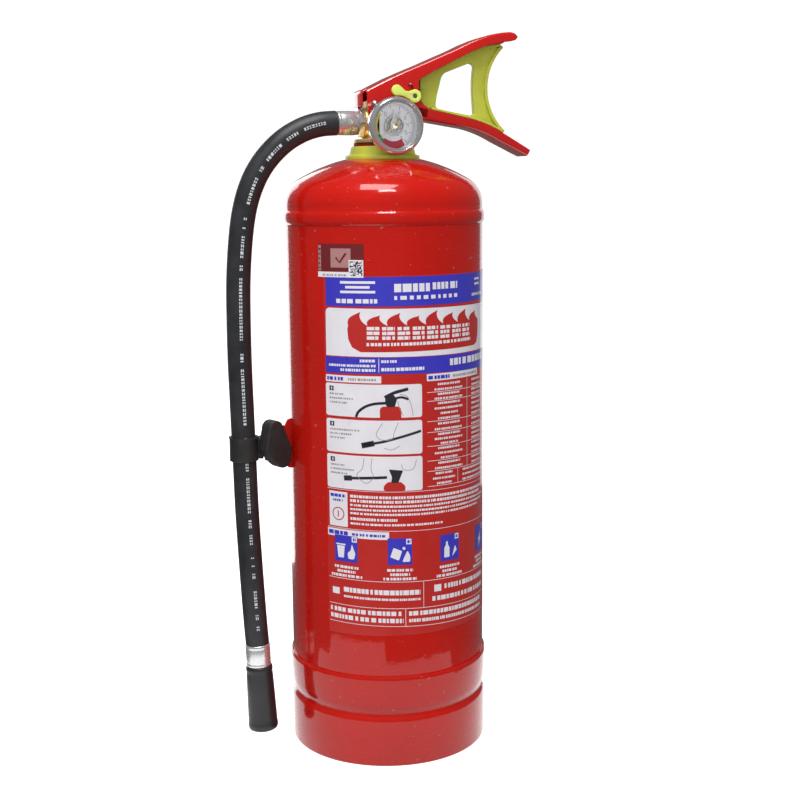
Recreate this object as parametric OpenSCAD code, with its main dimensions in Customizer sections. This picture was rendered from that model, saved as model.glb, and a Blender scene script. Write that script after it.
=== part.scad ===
// Portable dry-powder fire extinguisher, stored-pressure type.
// Millimetres. Origin at the centre of the base, +Z up, handles towards +X,
// hose on the -X side, pressure gauge towards -Y.

/* [Cylinder] */
// Outer radius of the body tube
body_r = 66.5; // [66:0.1:67]
// Wall thickness of the pressure vessel
wall = 1.5; // [1.2:0.1:2]
// Height of the welded seam between tube and dome
seam_z = 361; // [355:1:364]
// Height of the dome's tangent line
dome_z = 369; // [367:0.5:370]
// Knuckle radius of the dome
dome_knuckle = 19; // [18:0.5:20]
// Crown radius of the dome
dome_crown = 110; // [109:0.5:111]

/* [Skirt] */
// Height of the skirt's upper lip
skirt_z = 62.5; // [61:0.5:66]
// Sheet thickness of the skirt
skirt_t = 1.4; // [1.2:0.1:1.5]

/* [Head] */
// Height of the valve's seating flange
flange_z = 409; // [409:0.5:410]
// Height of the hose port's axis
port_z = 422; // [421.5:0.5:422.5]
// Height of the gauge's axis
gauge_z = 419.2; // [418.8:0.1:419.6]
// Outer radius of the gauge bezel
bezel_r = 18.3; // [18:0.1:18.5]

/* [Handles] */
// Outer half width of the lever
lever_half = 11.8; // [11.6:0.1:12]
// Outer half width of the carry handle
handle_half = 10; // [9.9:0.1:10.1]
// Sheet thickness of both handles
sheet = 1.4; // [1.3:0.1:1.5]
// Slope of the lever at rest, in degrees
lever_slope = 23.3; // [22.5:0.1:23.5]
// Full squeeze of the lever, in degrees
lever_travel = 14; // [12:0.5:14]

/* [Hose] */
// Outer diameter of the hose
hose_d = 16; // [15.6:0.1:16]
// Number of flats round the hose's plain solid
hose_sides = 12; // [8:1:12]

/* [Hidden] */
$fn = 96;
eps = 0.01;

// Running clearance between a shaft and the hole it turns or slides in
run_gap = 0.05;

// Colours
red = [0.78, 0.07, 0.05];
lime = [0.74, 0.78, 0.27];
pale_lime = [0.90, 0.95, 0.50];
brass = [0.80, 0.62, 0.28];
steel = [0.74, 0.75, 0.77];
black = [0.09, 0.09, 0.10];
print_white = [0.85, 0.85, 0.88];

// Centre height of the dome's crown sphere
dome_crown_z = dome_z - sqrt(pow(dome_crown - dome_knuckle, 2) - pow(body_r - dome_knuckle, 2));

// Bottom head
bottom_z = 50;
bottom_knuckle = 12;
bottom_crown = 130;

// Neck
boss_r = 20;
thread_r = 15;

// Lever: pivot, rear end and the straight stretch before the curved tip
pivot = [-8.2, 433.1];
pivot_r = 2.5;
lever_rear = [-13.2, 442.6];
lever_end_x = -17.6;
lever_bend_x = 62;
lever_bend_r = 66;
lever_inner = lever_half - sheet;

// Carry handle: ear, straight stretch, bend and straight grip
handle_inner = handle_half - sheet;
grip_start = [26, 431.6];
grip_slope = -11.6;
grip_bend_x = 58;
grip_bend_r = 85;
grip_end_slope = -29.4;
grip_end_x = 103;
grip_depth = 6.2;
grip_end_depth = 4.6;

// Rivet that ties the carry handle to the valve
handle_rivet_at = [11, 425];
handle_rivet_r = 2;

// Safety pin
pin_at = [18.3, 439];
pin_r = 1.5;

// Valve stem
stem_r = 2.5;
stem_top = 446.35;
seat_r = 4.5;
chamber_r = 6.2;
retainer_z = 393.5;

// Gauge depths, measured from the cylinder's axis towards -Y
gauge_boss_d = 17;
case_back_d = 20.2;
case_front_d = 29.6;
dial_d = 23.2;
pointer_d = 26.4;
pointer_rest = 217.6;

// Hose: route points in the XZ plane, from the upper ferrule to the lower one
hose_route = [
    [-32, 422], [-42, 421.2], [-52, 418.6], [-61, 414.4], [-68, 409.8], [-74.2, 404.4],
    [-80, 398], [-85, 390.8], [-89, 383], [-92.4, 374], [-95, 364], [-97, 352],
    [-98.8, 335], [-100, 315], [-100.4, 290], [-100.4, 265], [-100, 245], [-99.6, 225],
    [-99.3, 209], [-99, 195], [-98.6, 174], [-97.9, 153], [-97, 132], [-96, 111],
    [-94.9, 90], [-93.84, 73.8]
];
ferrule_r = 7.9;
nut_x = -14.4;
tail_r = 4;
nozzle_top = [-93.8, 73.5];
nozzle_tilt = -2.5;
nozzle_len = 61;
clip_x = -99.3;
clip_z = 209.5;

// Label and sticker: azimuths run from -Y towards +X
label_span = [-53.5, 73];
label_heights = [90, 326];
sticker_span = [-56.5, -28.7];
sticker_heights = [326.5, 345.5];
film_t = 0.12;

// ---------- helpers ----------

// Extrudes an XZ outline between two Y values
module slab(y0, y1) {
    translate([0, y1, 0]) rotate([90, 0, 0]) linear_extrude(y1 - y0) children();
}

// The same outline on both sides of the XZ plane
module slab_pair(inner, outer) {
    slab(inner, outer) children();
    slab(-outer, -inner) children();
}

// A shaft or hole along Y through an XZ point
module cross_rod(at, r, half) {
    translate([at[0], half, at[1]]) rotate([90, 0, 0]) cylinder(r = r, h = 2 * half);
}

// Ring between two radii
module ring(r_in, r_out, z0, z1) {
    difference() {
        translate([0, 0, z0]) cylinder(r = r_out, h = z1 - z0);
        translate([0, 0, z0 - 1]) cylinder(r = r_in, h = z1 - z0 + 2);
    }
}

// Places children with their Z axis along the gauge's axis, pointing to -Y
module on_gauge_axis() {
    translate([0, 0, gauge_z]) rotate([90, 0, 0]) children();
}

// Places children with their Z axis pointing to -X at the hose port
module on_port_axis() {
    translate([0, 0, port_z]) rotate([0, -90, 0]) children();
}

// Places children at the lower ferrule's top with Z along the nozzle, pointing down
module on_nozzle_axis() {
    translate([nozzle_top[0], 0, nozzle_top[1]]) rotate([0, 180 + nozzle_tilt, 0]) children();
}

function arc(centre, r, a0, a1, n) =
    [for (i = [0:n]) centre + r * [cos(a0 + (a1 - a0) * i / n), sin(a0 + (a1 - a0) * i / n)]];

function reverse(v) = [for (i = [len(v) - 1:-1:0]) v[i]];

// Half section of a head: knuckle torus and crown sphere over a straight stretch
module head_section(r, knuckle, crown, straight) {
    crown_z = -sqrt(pow(crown - knuckle, 2) - pow(r - knuckle, 2));
    touch = atan2(-crown_z, r - knuckle);
    touch_r = crown * cos(touch);
    touch_z = crown_z + crown * sin(touch);
    intersection() {
        translate([0, -straight]) square([r, straight + crown + crown_z]);
        union() {
            translate([0, -straight]) square([r, straight]);
            translate([0, -eps]) square([r - knuckle, touch_z]);
            translate([r - knuckle, 0]) circle(knuckle);
            intersection() {
                translate([0, crown_z]) circle(crown, $fn = 360);
                translate([0, -eps]) square([touch_r, crown]);
            }
        }
    }
}

// Shell of a head, with the straight stretch below its tangent line
module head_shell(r, knuckle, crown, straight) {
    rotate_extrude() difference() {
        head_section(r, knuckle, crown, straight);
        translate([0, -eps]) head_section(r - wall, knuckle - wall, crown - wall, straight);
    }
}

// ---------- cylinder ----------

module body_tube() {
    color(red) ring(body_r - wall, body_r, bottom_z + 0.5, seam_z);
}

module top_dome() {
    color(red) difference() {
        union() {
            translate([0, 0, dome_z])
                head_shell(body_r, dome_knuckle, dome_crown, dome_z - seam_z);
            seam_band();
        }
        cylinder(r = boss_r, h = 500);
    }
}

// Raised band over the weld
module seam_band() {
    band = 1.2;
    half = 4.2;
    rotate_extrude() polygon([
        [body_r, seam_z - half], [body_r + band * 0.7, seam_z - half * 0.8],
        [body_r + band, seam_z - half * 0.4], [body_r + band, seam_z + half * 0.4],
        [body_r + band * 0.7, seam_z + half * 0.8], [body_r, seam_z + half]
    ]);
}

module bottom_head() {
    lap = 10;
    color(red) translate([0, 0, bottom_z]) mirror([0, 0, 1])
        head_shell(body_r - wall, bottom_knuckle, bottom_crown, lap);
}

module base_skirt() {
    lip_r = body_r + skirt_t;
    color(red) rotate_extrude() polygon([
        [body_r, skirt_z], [lip_r - 0.4, skirt_z], [lip_r, skirt_z - 0.5],
        [lip_r, skirt_z - 3], [lip_r - 0.7, 42], [lip_r - 1.2, 38.6],
        [lip_r - 2.4, 36.6], [lip_r - 2.3, 35.4], [lip_r - 0.9, 33.2],
        [lip_r - 0.6, 31], [lip_r - 0.6, 1], [lip_r - 1.2, 0],
        [lip_r - 2, 0], [lip_r - 2, 31], [lip_r - 2.4, 32.6],
        [lip_r - 3.7, 34.8], [lip_r - 3.8, 37.4], [lip_r - 2.6, 39.6],
        [lip_r - 2.1, 44], [body_r, 50]
    ]);
}

module label_band(span, heights) {
    rotate([0, 0, span[0] - 90]) rotate_extrude(angle = span[1] - span[0])
        translate([body_r, heights[0]]) square([film_t, heights[1] - heights[0]]);
}

module label_film() {
    color(print_white) label_band(label_span, label_heights);
}

module inspection_sticker() {
    color([0.45, 0.05, 0.05]) label_band(sticker_span, sticker_heights);
}

module powder_charge() {
    fill_z = 330;
    color([0.85, 0.88, 0.9]) ring(6.3, body_r - wall - 0.3, 61, fill_z);
}

// ---------- neck and valve ----------

module neck_boss() {
    boss_top = flange_z - 0.8;
    color([0.55, 0.1, 0.1]) ring(thread_r, boss_r, 392, boss_top);
}

module neck_collar() {
    skin = 0.05;
    top_z = flange_z - 2.2;
    color(lime) difference() {
        rotate_extrude() polygon([
            [boss_r + 0.1, 396], [24.2, 396], [24.6, 398.2], [24.6, 400.6], [24.2, 401],
            [22, 401], [20.9, top_z], [boss_r + 0.1, top_z]
        ]);
        translate([0, 0, dome_crown_z]) sphere(r = dome_crown + skin, $fn = 180);
    }
}

module neck_gasket() {
    color(black) ring(thread_r, 19, flange_z - 0.8, flange_z);
}

module valve_body() {
    shank_r = thread_r - 0.1;
    barrel_top = 436.5;
    flat_half = 8.3;
    color(brass) difference() {
        union() {
            // threaded shank and seating flange
            translate([0, 0, 386]) cylinder(r = shank_r, h = flange_z - 386);
            translate([0, 0, flange_z]) cylinder(r = 19.2, h = 2.6);
            // round lower barrel
            translate([0, 0, flange_z]) cylinder(r = 13, h = 12.5);
            // upper barrel with flats between the handle's ears
            intersection() {
                translate([0, 0, flange_z + 12]) cylinder(r = 13.2, h = barrel_top - flange_z - 12);
                translate([-13.1, -flat_half, 400]) cube([26.4, 2 * flat_half, 50]);
            }
            // hose port and gauge port
            on_port_axis() cylinder(r = 8.8, h = -nut_x);
            on_gauge_axis() cylinder(r = 7, h = gauge_boss_d);
        }
        // chamber below the seat, throat above it, gland thread
        translate([0, 0, 385]) cylinder(r = 8, h = retainer_z - 385);
        translate([0, 0, retainer_z - 1]) cylinder(r = chamber_r, h = flange_z - retainer_z + 1);
        translate([0, 0, flange_z - 1]) cylinder(r = seat_r, h = 19);
        translate([0, 0, 426.6]) cylinder(r = 5.2, h = 20);
        // hose port bore
        on_port_axis() translate([0, 0, 1]) cylinder(r = tail_r, h = 30);
        // gauge thread and the passage that feeds it from below the seat
        on_gauge_axis() translate([0, 0, 10.5]) cylinder(r = 5, h = 20);
        translate([0, -10.9, 385]) cylinder(r = 1.2, h = gauge_z - 385);
        // step that clears the lever's turned-down rear end
        translate([-20, -20, 431.5]) cube([8, 40, 20]);
        // rivet holes
        cross_rod(pivot, pivot_r, 20);
        cross_rod(handle_rivet_at, handle_rivet_r, 20);
    }
}

// Screwed guide for the stem, with a groove for the O-ring
module stem_gland() {
    color(brass) difference() {
        union() {
            translate([0, 0, 427]) cylinder(r = 5.2, h = 9.5);
            translate([0, 0, 436.5]) cylinder(r = 6.6, h = 3.4, $fn = 6);
        }
        translate([0, 0, 420]) cylinder(r = stem_r + run_gap, h = 30);
        translate([0, 0, 427 - eps]) cylinder(r = 4.2, h = 2.2);
    }
}

module stem_o_ring() {
    color(black) translate([0, 0, 428.1]) rotate_extrude()
        translate([stem_r + 0.08 + 0.8, 0]) circle(0.8, $fn = 32);
}

module valve_stem() {
    color(steel) {
        translate([0, 0, stem_top - stem_r]) intersection() {
            sphere(r = stem_r);
            translate([-5, -5, -eps]) cube([10, 10, 5]);
        }
        translate([0, 0, 405]) cylinder(r = stem_r, h = stem_top - stem_r - 405);
        translate([0, 0, 405]) cylinder(r = 5.4, h = 2.2);
        translate([0, 0, 402.4]) cylinder(r = 2.9, h = 2.7);
    }
}

module stem_seal() {
    color(black) ring(stem_r, 5.4, 407.2, 408.8);
}

// Compression spring, one closed helix swept as a polyhedron
module stem_spring() {
    wire = 0.6;
    coil_r = 4.2;
    turns = 5;
    steps = 20;
    sides = 8;
    z0 = retainer_z + wire + 0.02;
    z1 = 405 - wire - 0.02;
    count = turns * steps;
    points = [for (i = [0:count]) for (j = [0:sides - 1])
        let (a = 360 * i / steps, b = 360 * j / sides, r = coil_r + wire * cos(b))
        [r * cos(a), r * sin(a), z0 + (z1 - z0) * i / count + wire * sin(b)]];
    color(steel) polyhedron(points, tube_faces(count + 1, sides), convexity = 8);
}

// Faces of a swept tube with capped ends, rings in order
function tube_faces(rings, sides) = concat(
    [[for (j = [0:sides - 1]) j]],
    [for (i = [0:rings - 2]) for (j = [0:sides - 1])
        let (k = (j + 1) % sides)
        [i * sides + j, (i + 1) * sides + j, (i + 1) * sides + k, i * sides + k]],
    [[for (j = [sides - 1:-1:0]) (rings - 1) * sides + j]]);

module spring_retainer() {
    color(brass) difference() {
        translate([0, 0, 374]) cylinder(r = 7.95, h = retainer_z - 374);
        translate([0, 0, 370]) cylinder(r = 6, h = 19);
        translate([0, 0, 380]) cylinder(r = 3, h = 20);
    }
}

module siphon_tube() {
    color([0.9, 0.9, 0.88]) ring(4.8, 6, 35, 389);
}

// ---------- handles ----------

function lever_line(x) = lever_rear[1] + (x - lever_rear[0]) * tan(lever_slope);

// Top edge of the lever, moved inwards by a distance
function lever_top(inset) =
    let (bend = [lever_bend_x, lever_line(lever_bend_x)],
         centre = bend + lever_bend_r * [sin(lever_slope), -cos(lever_slope)],
         start = [lever_end_x, lever_line(lever_end_x)] + inset * [sin(lever_slope), -cos(lever_slope)])
    concat([start], arc(centre, lever_bend_r - inset, 90 + lever_slope, 90, 6));

// Lower edge of the lever's flange, from the tip back to the inner corner
lever_lower = [
    [91.6, 479.3], [91.6, 478.2], [90, 477.5], [82.4, 475.5], [71, 472.9], [59.4, 468.5],
    [45, 461.5], [31, 454.6], [25.5, 451.6], [22.8, 450.1], [21.8, 448.4], [21.8, 435.9],
    [13, 434.9], [1, 433.8]
];

module lever() {
    plate_top = lever_top(0);
    color(red) difference() {
        union() {
            slab_pair(lever_inner, lever_half) {
                polygon(concat([lever_rear], [for (i = [1:len(plate_top) - 1]) plate_top[i]],
                               [[90.4, 480.4]], lever_lower, arc(pivot, 5.6, -45, -190, 6)));
            }
            slab(-lever_half, lever_half)
                polygon(concat(lever_top(0), [[90.4, 480.4], [91.6, 479.3], [91.2, 478.6]],
                               reverse(lever_top(sheet))));
            // turned-down rear end
            slab(-handle_half, handle_half)
                polygon([[lever_end_x, lever_line(lever_end_x)], [-17.2, 432.4], [-15.8, 432.4],
                         [-16.2, lever_line(-16.2)]]);
        }
        cross_rod(pivot, pivot_r + run_gap, 20);
        pin_slot();
    }
}

// Arc slot round the pivot, so the lever can swing with the pin in its ears
module pin_slot() {
    arm = norm(pin_at - pivot);
    start = atan2(pin_at[1] - pivot[1], pin_at[0] - pivot[0]);
    half = pin_r + 0.3;
    slab(-20, 20) {
        for (a = [start, start + lever_travel])
            translate(pivot + arm * [cos(a), sin(a)]) circle(half);
        polygon(concat(arc(pivot, arm + half, start, start + lever_travel, 4),
                       arc(pivot, arm - half, start + lever_travel, start, 4)));
    }
}

module lever_pivot_rivet() {
    face = lever_half + 0.3;
    color(steel) {
        cross_rod(pivot, pivot_r, face + 0.2);
        for (side = [-1, 1])
            translate([pivot[0], side * face, pivot[1]]) rotate([-side * 90, 0, 0])
                rivet_head(2.9, 2);
    }
}

// Domed head with a flat underside at z = 0
module rivet_head(r, h) {
    dome = (r * r + h * h) / (2 * h);
    intersection() {
        translate([0, 0, h - dome]) sphere(r = dome);
        cylinder(r = r, h = h);
    }
}

// Height of the grip's top edge at the start of its bend
grip_bend = [grip_bend_x, grip_start[1] + (grip_bend_x - grip_start[0]) * tan(grip_slope)];
grip_centre = grip_bend + grip_bend_r * [sin(grip_slope), -cos(grip_slope)];

// Top edge of the grip from its bend to its far end, moved down by an inset that
// can differ at the far end
function grip_edge(inset, end_inset) =
    let (bend_end = grip_centre + grip_bend_r * [sin(-grip_end_slope), cos(grip_end_slope)],
         far_z = bend_end[1] + (grip_end_x - bend_end[0]) * tan(grip_end_slope),
         far = [grip_end_x, far_z] + end_inset * [sin(grip_end_slope), -cos(grip_end_slope)])
    concat(arc(grip_centre, grip_bend_r - inset, 90 + grip_slope, 90 + grip_end_slope, 5), [far]);

module carry_handle() {
    top = grip_edge(0, 0);
    bottom = grip_edge(grip_depth, grip_end_depth);
    web_top = grip_edge(grip_depth - sheet, grip_end_depth - sheet);
    web_start = [16, 425.4];
    color(red) difference() {
        union() {
            slab_pair(handle_inner, handle_half)
                polygon(concat(
                    [[-12.7, 427.4], [-12.7, 433], [-10.6, 440], [-6, 441.6], [16.5, 445.2],
                     [20, 443.4], [21.4, 440], [21.4, 436.4], [23.4, 433.2], grip_start],
                    top, [[grip_end_x + 1, 402.8], [grip_end_x, 401]], reverse(bottom),
                    [web_start, [15, 421], [8.6, 421.6], [8.2, 427]]));
            slab(-handle_half, handle_half)
                polygon(concat([web_start + [0, sheet]], web_top, [[grip_end_x, 401]],
                               reverse(bottom), [web_start]));
        }
        cross_rod(pivot, pivot_r, 20);
        cross_rod(handle_rivet_at, handle_rivet_r, 20);
        cross_rod(pin_at, pin_r + run_gap, 20);
    }
}

module handle_rivet() {
    color(steel) {
        cross_rod(handle_rivet_at, handle_rivet_r, handle_half + 0.1);
        for (side = [-1, 1])
            translate([handle_rivet_at[0], side * handle_half, handle_rivet_at[1]])
                rotate([-side * 90, 0, 0]) rivet_head(3.4, 1.3);
    }
}

module safety_pin() {
    tail = 16;
    head = lever_half + 2.6;
    color(steel) {
        translate([pin_at[0], tail, pin_at[1]]) rotate([90, 0, 0])
            cylinder(r = pin_r, h = tail + head);
    }
}

// Bone-shaped plastic tab moulded on the pin's head
module pin_tab() {
    lobe = [6, 442.6];
    near = lever_half + 0.4;
    color(pale_lime) difference() {
        slab(-near - 2.4, -near) union() {
            translate(lobe) circle(3.8);
            translate(pin_at) circle(4.4);
            difference() {
                polygon([lobe + [1, 3], lobe + [-1, -3], pin_at + [-1, -3.6], pin_at + [1, 3.6]]);
                translate([13.2, 447.9]) circle(5.2);
                translate([10.8, 433.4]) circle(5.2);
            }
        }
        cross_rod(pin_at, pin_r, 20);
    }
}

// Plastic piece that keeps the handles apart
module safety_insert() {
    gap = 0.3;
    lip_t = 1.3;
    plate = 3;
    rim = 6;
    lip_half = 9.4;
    rest = grip_edge(-gap, -gap);
    lip = grip_edge(-gap - lip_t, -gap - lip_t);
    outer = arc([111.5, 445.4], 36.4, 129.5, 230, 12);
    rim_arc = arc([111.5, 445.4], 38.8, 230, 129.5, 12);
    window_bow = arc([82.5, 446], 19, 202, 160, 5);
    color(lime) {
        slab(-plate, plate) difference() {
            polygon(concat(
                [[25.4, 451], [25.6, 444], [26.6, 436.6], [31.6, 431.2], [40, 429.4]],
                [for (p = lip) if (p[0] < 86) p], [[87.6, 417.6]], reverse(outer),
                [[86.6, 476], [71, 473.4], [59.4, 469.2], [45, 462.3], [31, 455.2]]));
            polygon(concat(
                [[41.2, 452], [41.8, 453.8], [43.2, 454.9], [62, 462], [64, 461.8], [64.8, 460]],
                reverse(window_bow), [[64.9, 428.6], [63.6, 427.2], [39.6, 431.4], [38.2, 433], [38.4, 437.5]]));
        }
        // raised rim along the concave end
        slab(-rim, rim) polygon(concat(outer, rim_arc));
        // wide lip that lies on the carry handle's edges
        slab(-lip_half, lip_half)
            polygon(concat([[31.6, 430.8]], [for (p = rest) if (p[0] < 86) p], [[86.6, 415.4]],
                           [[87.6, 416.4]], reverse([for (p = lip) if (p[0] < 86) p]),
                           [[31.6, 432.2]]));
    }
}

// ---------- gauge ----------

module gauge_stem() {
    color(brass) on_gauge_axis() difference() {
        union() {
            translate([0, 0, 11]) cylinder(r = 5, h = 7);
            translate([0, 0, gauge_boss_d + 0.8]) cylinder(r = 6.8, h = case_back_d - gauge_boss_d - 0.8);
        }
        translate([0, 0, 10]) cylinder(r = 1, h = 20);
    }
}

module gauge_seal() {
    color(black) on_gauge_axis() ring(5, 6.8, gauge_boss_d, gauge_boss_d + 0.8);
}

module gauge_case() {
    case_r = bezel_r - 0.7;
    case_wall = 0.9;
    // the back is stepped in to clear the collar
    back_r = 12.2;
    case_step_d = 22.5;
    color(steel) on_gauge_axis() difference() {
        union() {
            translate([0, 0, case_back_d]) cylinder(r = back_r, h = case_front_d - case_back_d);
            translate([0, 0, case_step_d]) cylinder(r = case_r, h = case_front_d - case_step_d);
        }
        translate([0, 0, case_back_d + 1]) cylinder(r = back_r - case_wall, h = 20);
        translate([0, 0, dial_d]) cylinder(r = case_r - case_wall, h = 20);
    }
}

module gauge_dial() {
    color("white") on_gauge_axis() ring(1.2, bezel_r - 1.6, dial_d, dial_d + 0.4);
}

// Flat spiral tube behind the pointer
module bourdon_coil() {
    turns = 2.6;
    steps = 60;
    tube_t = 0.7;
    function spiral(i, side) =
        let (a = 360 * turns * i / steps, r = 2 + 4 * i / steps + side * tube_t / 2)
        [r * cos(a), r * sin(a)];
    color(brass) on_gauge_axis() translate([0, 0, dial_d + 0.4]) linear_extrude(1.8)
        polygon(concat([for (i = [0:steps]) spiral(i, 1)], [for (i = [steps:-1:0]) spiral(i, -1)]));
}

module gauge_needle() {
    reach = 13.1;
    color(black) on_gauge_axis() {
        translate([0, 0, case_back_d + 1.4]) cylinder(r = 0.6, h = pointer_d - case_back_d - 1.4);
        translate([0, 0, pointer_d]) cylinder(r = 1.5, h = 0.6);
        rotate([0, 0, pointer_rest]) translate([0, 0, pointer_d]) linear_extrude(0.6)
            polygon([[-4.5, -1], [-4.5, 1], [0, 0.9], [reach, 0.15], [reach, -0.15], [0, -0.9]]);
    }
}

module gauge_lens() {
    color([0.8, 0.9, 1, 0.4]) on_gauge_axis()
        translate([0, 0, case_front_d]) cylinder(r = bezel_r - 0.8, h = 1.6);
}

module gauge_bezel() {
    d = case_front_d;
    color(steel) on_gauge_axis() rotate_extrude() polygon([
        [bezel_r - 0.7, d - 1.8], [bezel_r, d - 1.8], [bezel_r, d + 1.6], [bezel_r - 0.7, d + 2.6],
        [bezel_r - 2, d + 2.8], [bezel_r - 2.8, d + 2.3], [bezel_r - 2.8, d + 1.6], [bezel_r - 0.7, d + 1.6]
    ]);
}

// ---------- hose ----------

module hose_nut() {
    across_corners = 20.4;
    color(steel) on_port_axis() difference() {
        translate([0, 0, -nut_x]) rotate([0, 0, 30]) cylinder(d = across_corners, h = 3.8, $fn = 6);
        cylinder(r = tail_r, h = 40);
    }
}

module hose_tail() {
    color(brass) on_port_axis() ring(2.8, tail_r, 8, 32);
}

module hose_ferrule_upper() {
    color(steel) on_port_axis() ring(tail_r, ferrule_r, 3.8 - nut_x, 32);
}

// Direction of the hose's route at one of its points
function route_dir(i) =
    let (a = hose_route[max(i - 1, 0)], b = hose_route[min(i + 1, len(hose_route) - 1)])
    i == 0 ? [-1, 0] : (b - a) / norm(b - a);

module hose() {
    rings = len(hose_route);
    r = hose_d / 2;
    points = [for (i = [0:rings - 1]) for (j = [0:hose_sides - 1])
        let (p = hose_route[i], d = route_dir(i), a = 360 * j / hose_sides)
        [p[0] - d[1] * r * cos(a), r * sin(a), p[1] + d[0] * r * cos(a)]];
    color(black) polyhedron(points, tube_faces(rings, hose_sides), convexity = 4);
}

module hose_ferrule_lower() {
    color(steel) on_nozzle_axis() ring(tail_r, 8.4, 0, 15.6);
}

module nozzle_insert() {
    color(brass) on_nozzle_axis() ring(2.8, tail_r, 0, 26);
}

module nozzle() {
    mouth_r = 6.8;
    color(black) on_nozzle_axis() difference() {
        rotate_extrude() polygon([
            [0, 15.6], [8.8, 15.6], [9.1, 16.2], [9.1, 22], [9.8, 50], [9.9, nozzle_len - 3],
            [9.5, nozzle_len - 0.8], [8.4, nozzle_len], [0, nozzle_len]
        ]);
        cylinder(r = tail_r, h = 30);
        translate([0, 0, 26]) cylinder(r = mouth_r, h = nozzle_len);
    }
}

module hose_clip_strap() {
    strap_h = 16;
    strap_t = 1.6;
    bore_r = hose_d / 2 + 0.1;
    color(black) translate([clip_x, 0, clip_z - strap_h / 2]) difference() {
        union() {
            cylinder(r = bore_r + strap_t, h = strap_h);
            translate([6, -4, 0]) cube([6.5, 8, strap_h]);
        }
        translate([0, 0, -1]) cylinder(r = bore_r, h = strap_h + 2);
    }
}

// Thick D-shaped pad that clamps the strap to the bracket
module hose_clip_pad() {
    color(black) difference() {
        translate([-81, 0, 212]) rotate([0, 0, 20]) slab(-11, -0.5) hull() {
            translate([-2, 11]) circle(5.5, $fn = 40);
            translate([3, -10]) circle(6, $fn = 40);
            translate([-5, -3]) circle(5.5, $fn = 40);
            translate([6, -4]) circle(4, $fn = 40);
        }
        // clear of the bracket's face, the strap's ring and the strap's lug
        translate([-110, 0.2, 150]) cube([60, 30, 120]);
        translate([clip_x, 0, 150]) cylinder(r = hose_d / 2 + 2, h = 100);
        translate([clip_x + 5.7, -4.3, clip_z - 8.3]) cube([7.1, 8, 16.6]);
    }
}

module clip_bracket() {
    tab_t = 2;
    z0 = 198;
    z1 = 223;
    color(red) difference() {
        slab(0.5, 0.5 + tab_t) polygon([
            [-85, z0 + 2], [-72, z0], [-69, z0 - 4], [-60, z0 - 5], [-60, z1 + 6], [-69, z1 + 4],
            [-71, z1], [-85, z1 - 2]
        ]);
        cylinder(r = body_r, h = 400);
    }
}

body_tube();
top_dome();
bottom_head();
base_skirt();
neck_boss();
neck_collar();
neck_gasket();
valve_body();
stem_gland();
stem_o_ring();
valve_stem();
stem_seal();
stem_spring();
spring_retainer();
siphon_tube();
powder_charge();
carry_handle();
handle_rivet();
lever();
lever_pivot_rivet();
safety_pin();
pin_tab();
safety_insert();
gauge_stem();
gauge_seal();
gauge_case();
gauge_dial();
bourdon_coil();
gauge_needle();
gauge_lens();
gauge_bezel();
hose_nut();
hose_tail();
hose_ferrule_upper();
hose();
hose_ferrule_lower();
nozzle_insert();
nozzle();
hose_clip_strap();
hose_clip_pad();
clip_bracket();
label_film();
inspection_sticker();
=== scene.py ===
import math
import random

import bmesh
import bpy
from mathutils import Matrix, Vector
from mathutils.geometry import delaunay_2d_cdt


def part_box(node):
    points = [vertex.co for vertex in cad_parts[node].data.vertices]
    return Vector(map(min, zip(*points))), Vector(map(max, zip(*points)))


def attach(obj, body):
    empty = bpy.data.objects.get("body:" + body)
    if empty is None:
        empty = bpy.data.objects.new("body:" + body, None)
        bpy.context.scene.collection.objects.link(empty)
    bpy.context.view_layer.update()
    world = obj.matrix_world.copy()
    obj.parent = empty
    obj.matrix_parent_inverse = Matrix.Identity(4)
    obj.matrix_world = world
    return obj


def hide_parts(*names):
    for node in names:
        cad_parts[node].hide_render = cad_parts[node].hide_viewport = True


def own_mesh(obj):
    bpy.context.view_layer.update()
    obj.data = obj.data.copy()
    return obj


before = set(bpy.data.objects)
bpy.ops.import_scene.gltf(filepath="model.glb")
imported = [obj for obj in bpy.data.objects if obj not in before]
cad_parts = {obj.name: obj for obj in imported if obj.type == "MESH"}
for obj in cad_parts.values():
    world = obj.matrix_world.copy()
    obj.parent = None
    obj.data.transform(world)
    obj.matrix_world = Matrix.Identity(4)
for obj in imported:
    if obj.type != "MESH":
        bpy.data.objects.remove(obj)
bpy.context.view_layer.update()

MM = 0.001
SCENE = bpy.context.scene
SCENE.view_settings.view_transform = "Standard"
VIEW_AZIMUTH = -18  # degrees round the cylinder from the front to the camera


def add_object(name, data):
    obj = bpy.data.objects.new(name, data)
    SCENE.collection.objects.link(obj)
    return obj


# ---------- camera ----------

def make_camera():
    """Camera at the photograph's place: 895.8 mm from the cylinder's axis, 18 degrees round to the left."""
    yaw, pitch, roll = (math.radians(a) for a in (0.645, 9.269, -0.548))
    forward = Vector((math.sin(yaw) * math.cos(pitch), math.cos(yaw) * math.cos(pitch), -math.sin(pitch)))
    right = Vector((math.cos(yaw), -math.sin(yaw), 0))
    up = right.cross(forward)
    right, up = right * math.cos(roll) + up * math.sin(roll), up * math.cos(roll) - right * math.sin(roll)
    turn = Matrix.Rotation(math.radians(VIEW_AZIMUTH), 3, "Z")
    matrix = Matrix((turn @ right, turn @ up, turn @ -forward)).transposed().to_4x4()
    matrix.translation = turn @ Vector((0, -895.847, 382.099)) * MM
    camera = add_object("camera", bpy.data.cameras.new("camera"))
    camera.matrix_world = matrix
    camera.data.sensor_width = 36
    camera.data.lens = 59.53
    camera.data.clip_start = 0.01
    SCENE.camera = camera


make_camera()


# ---------- materials ----------

def feed(tree, socket, value):
    """Links another socket to this one, or sets it to a plain value."""
    if isinstance(value, bpy.types.NodeSocket):
        tree.links.new(value, socket)
    else:
        socket.default_value = value


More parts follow.
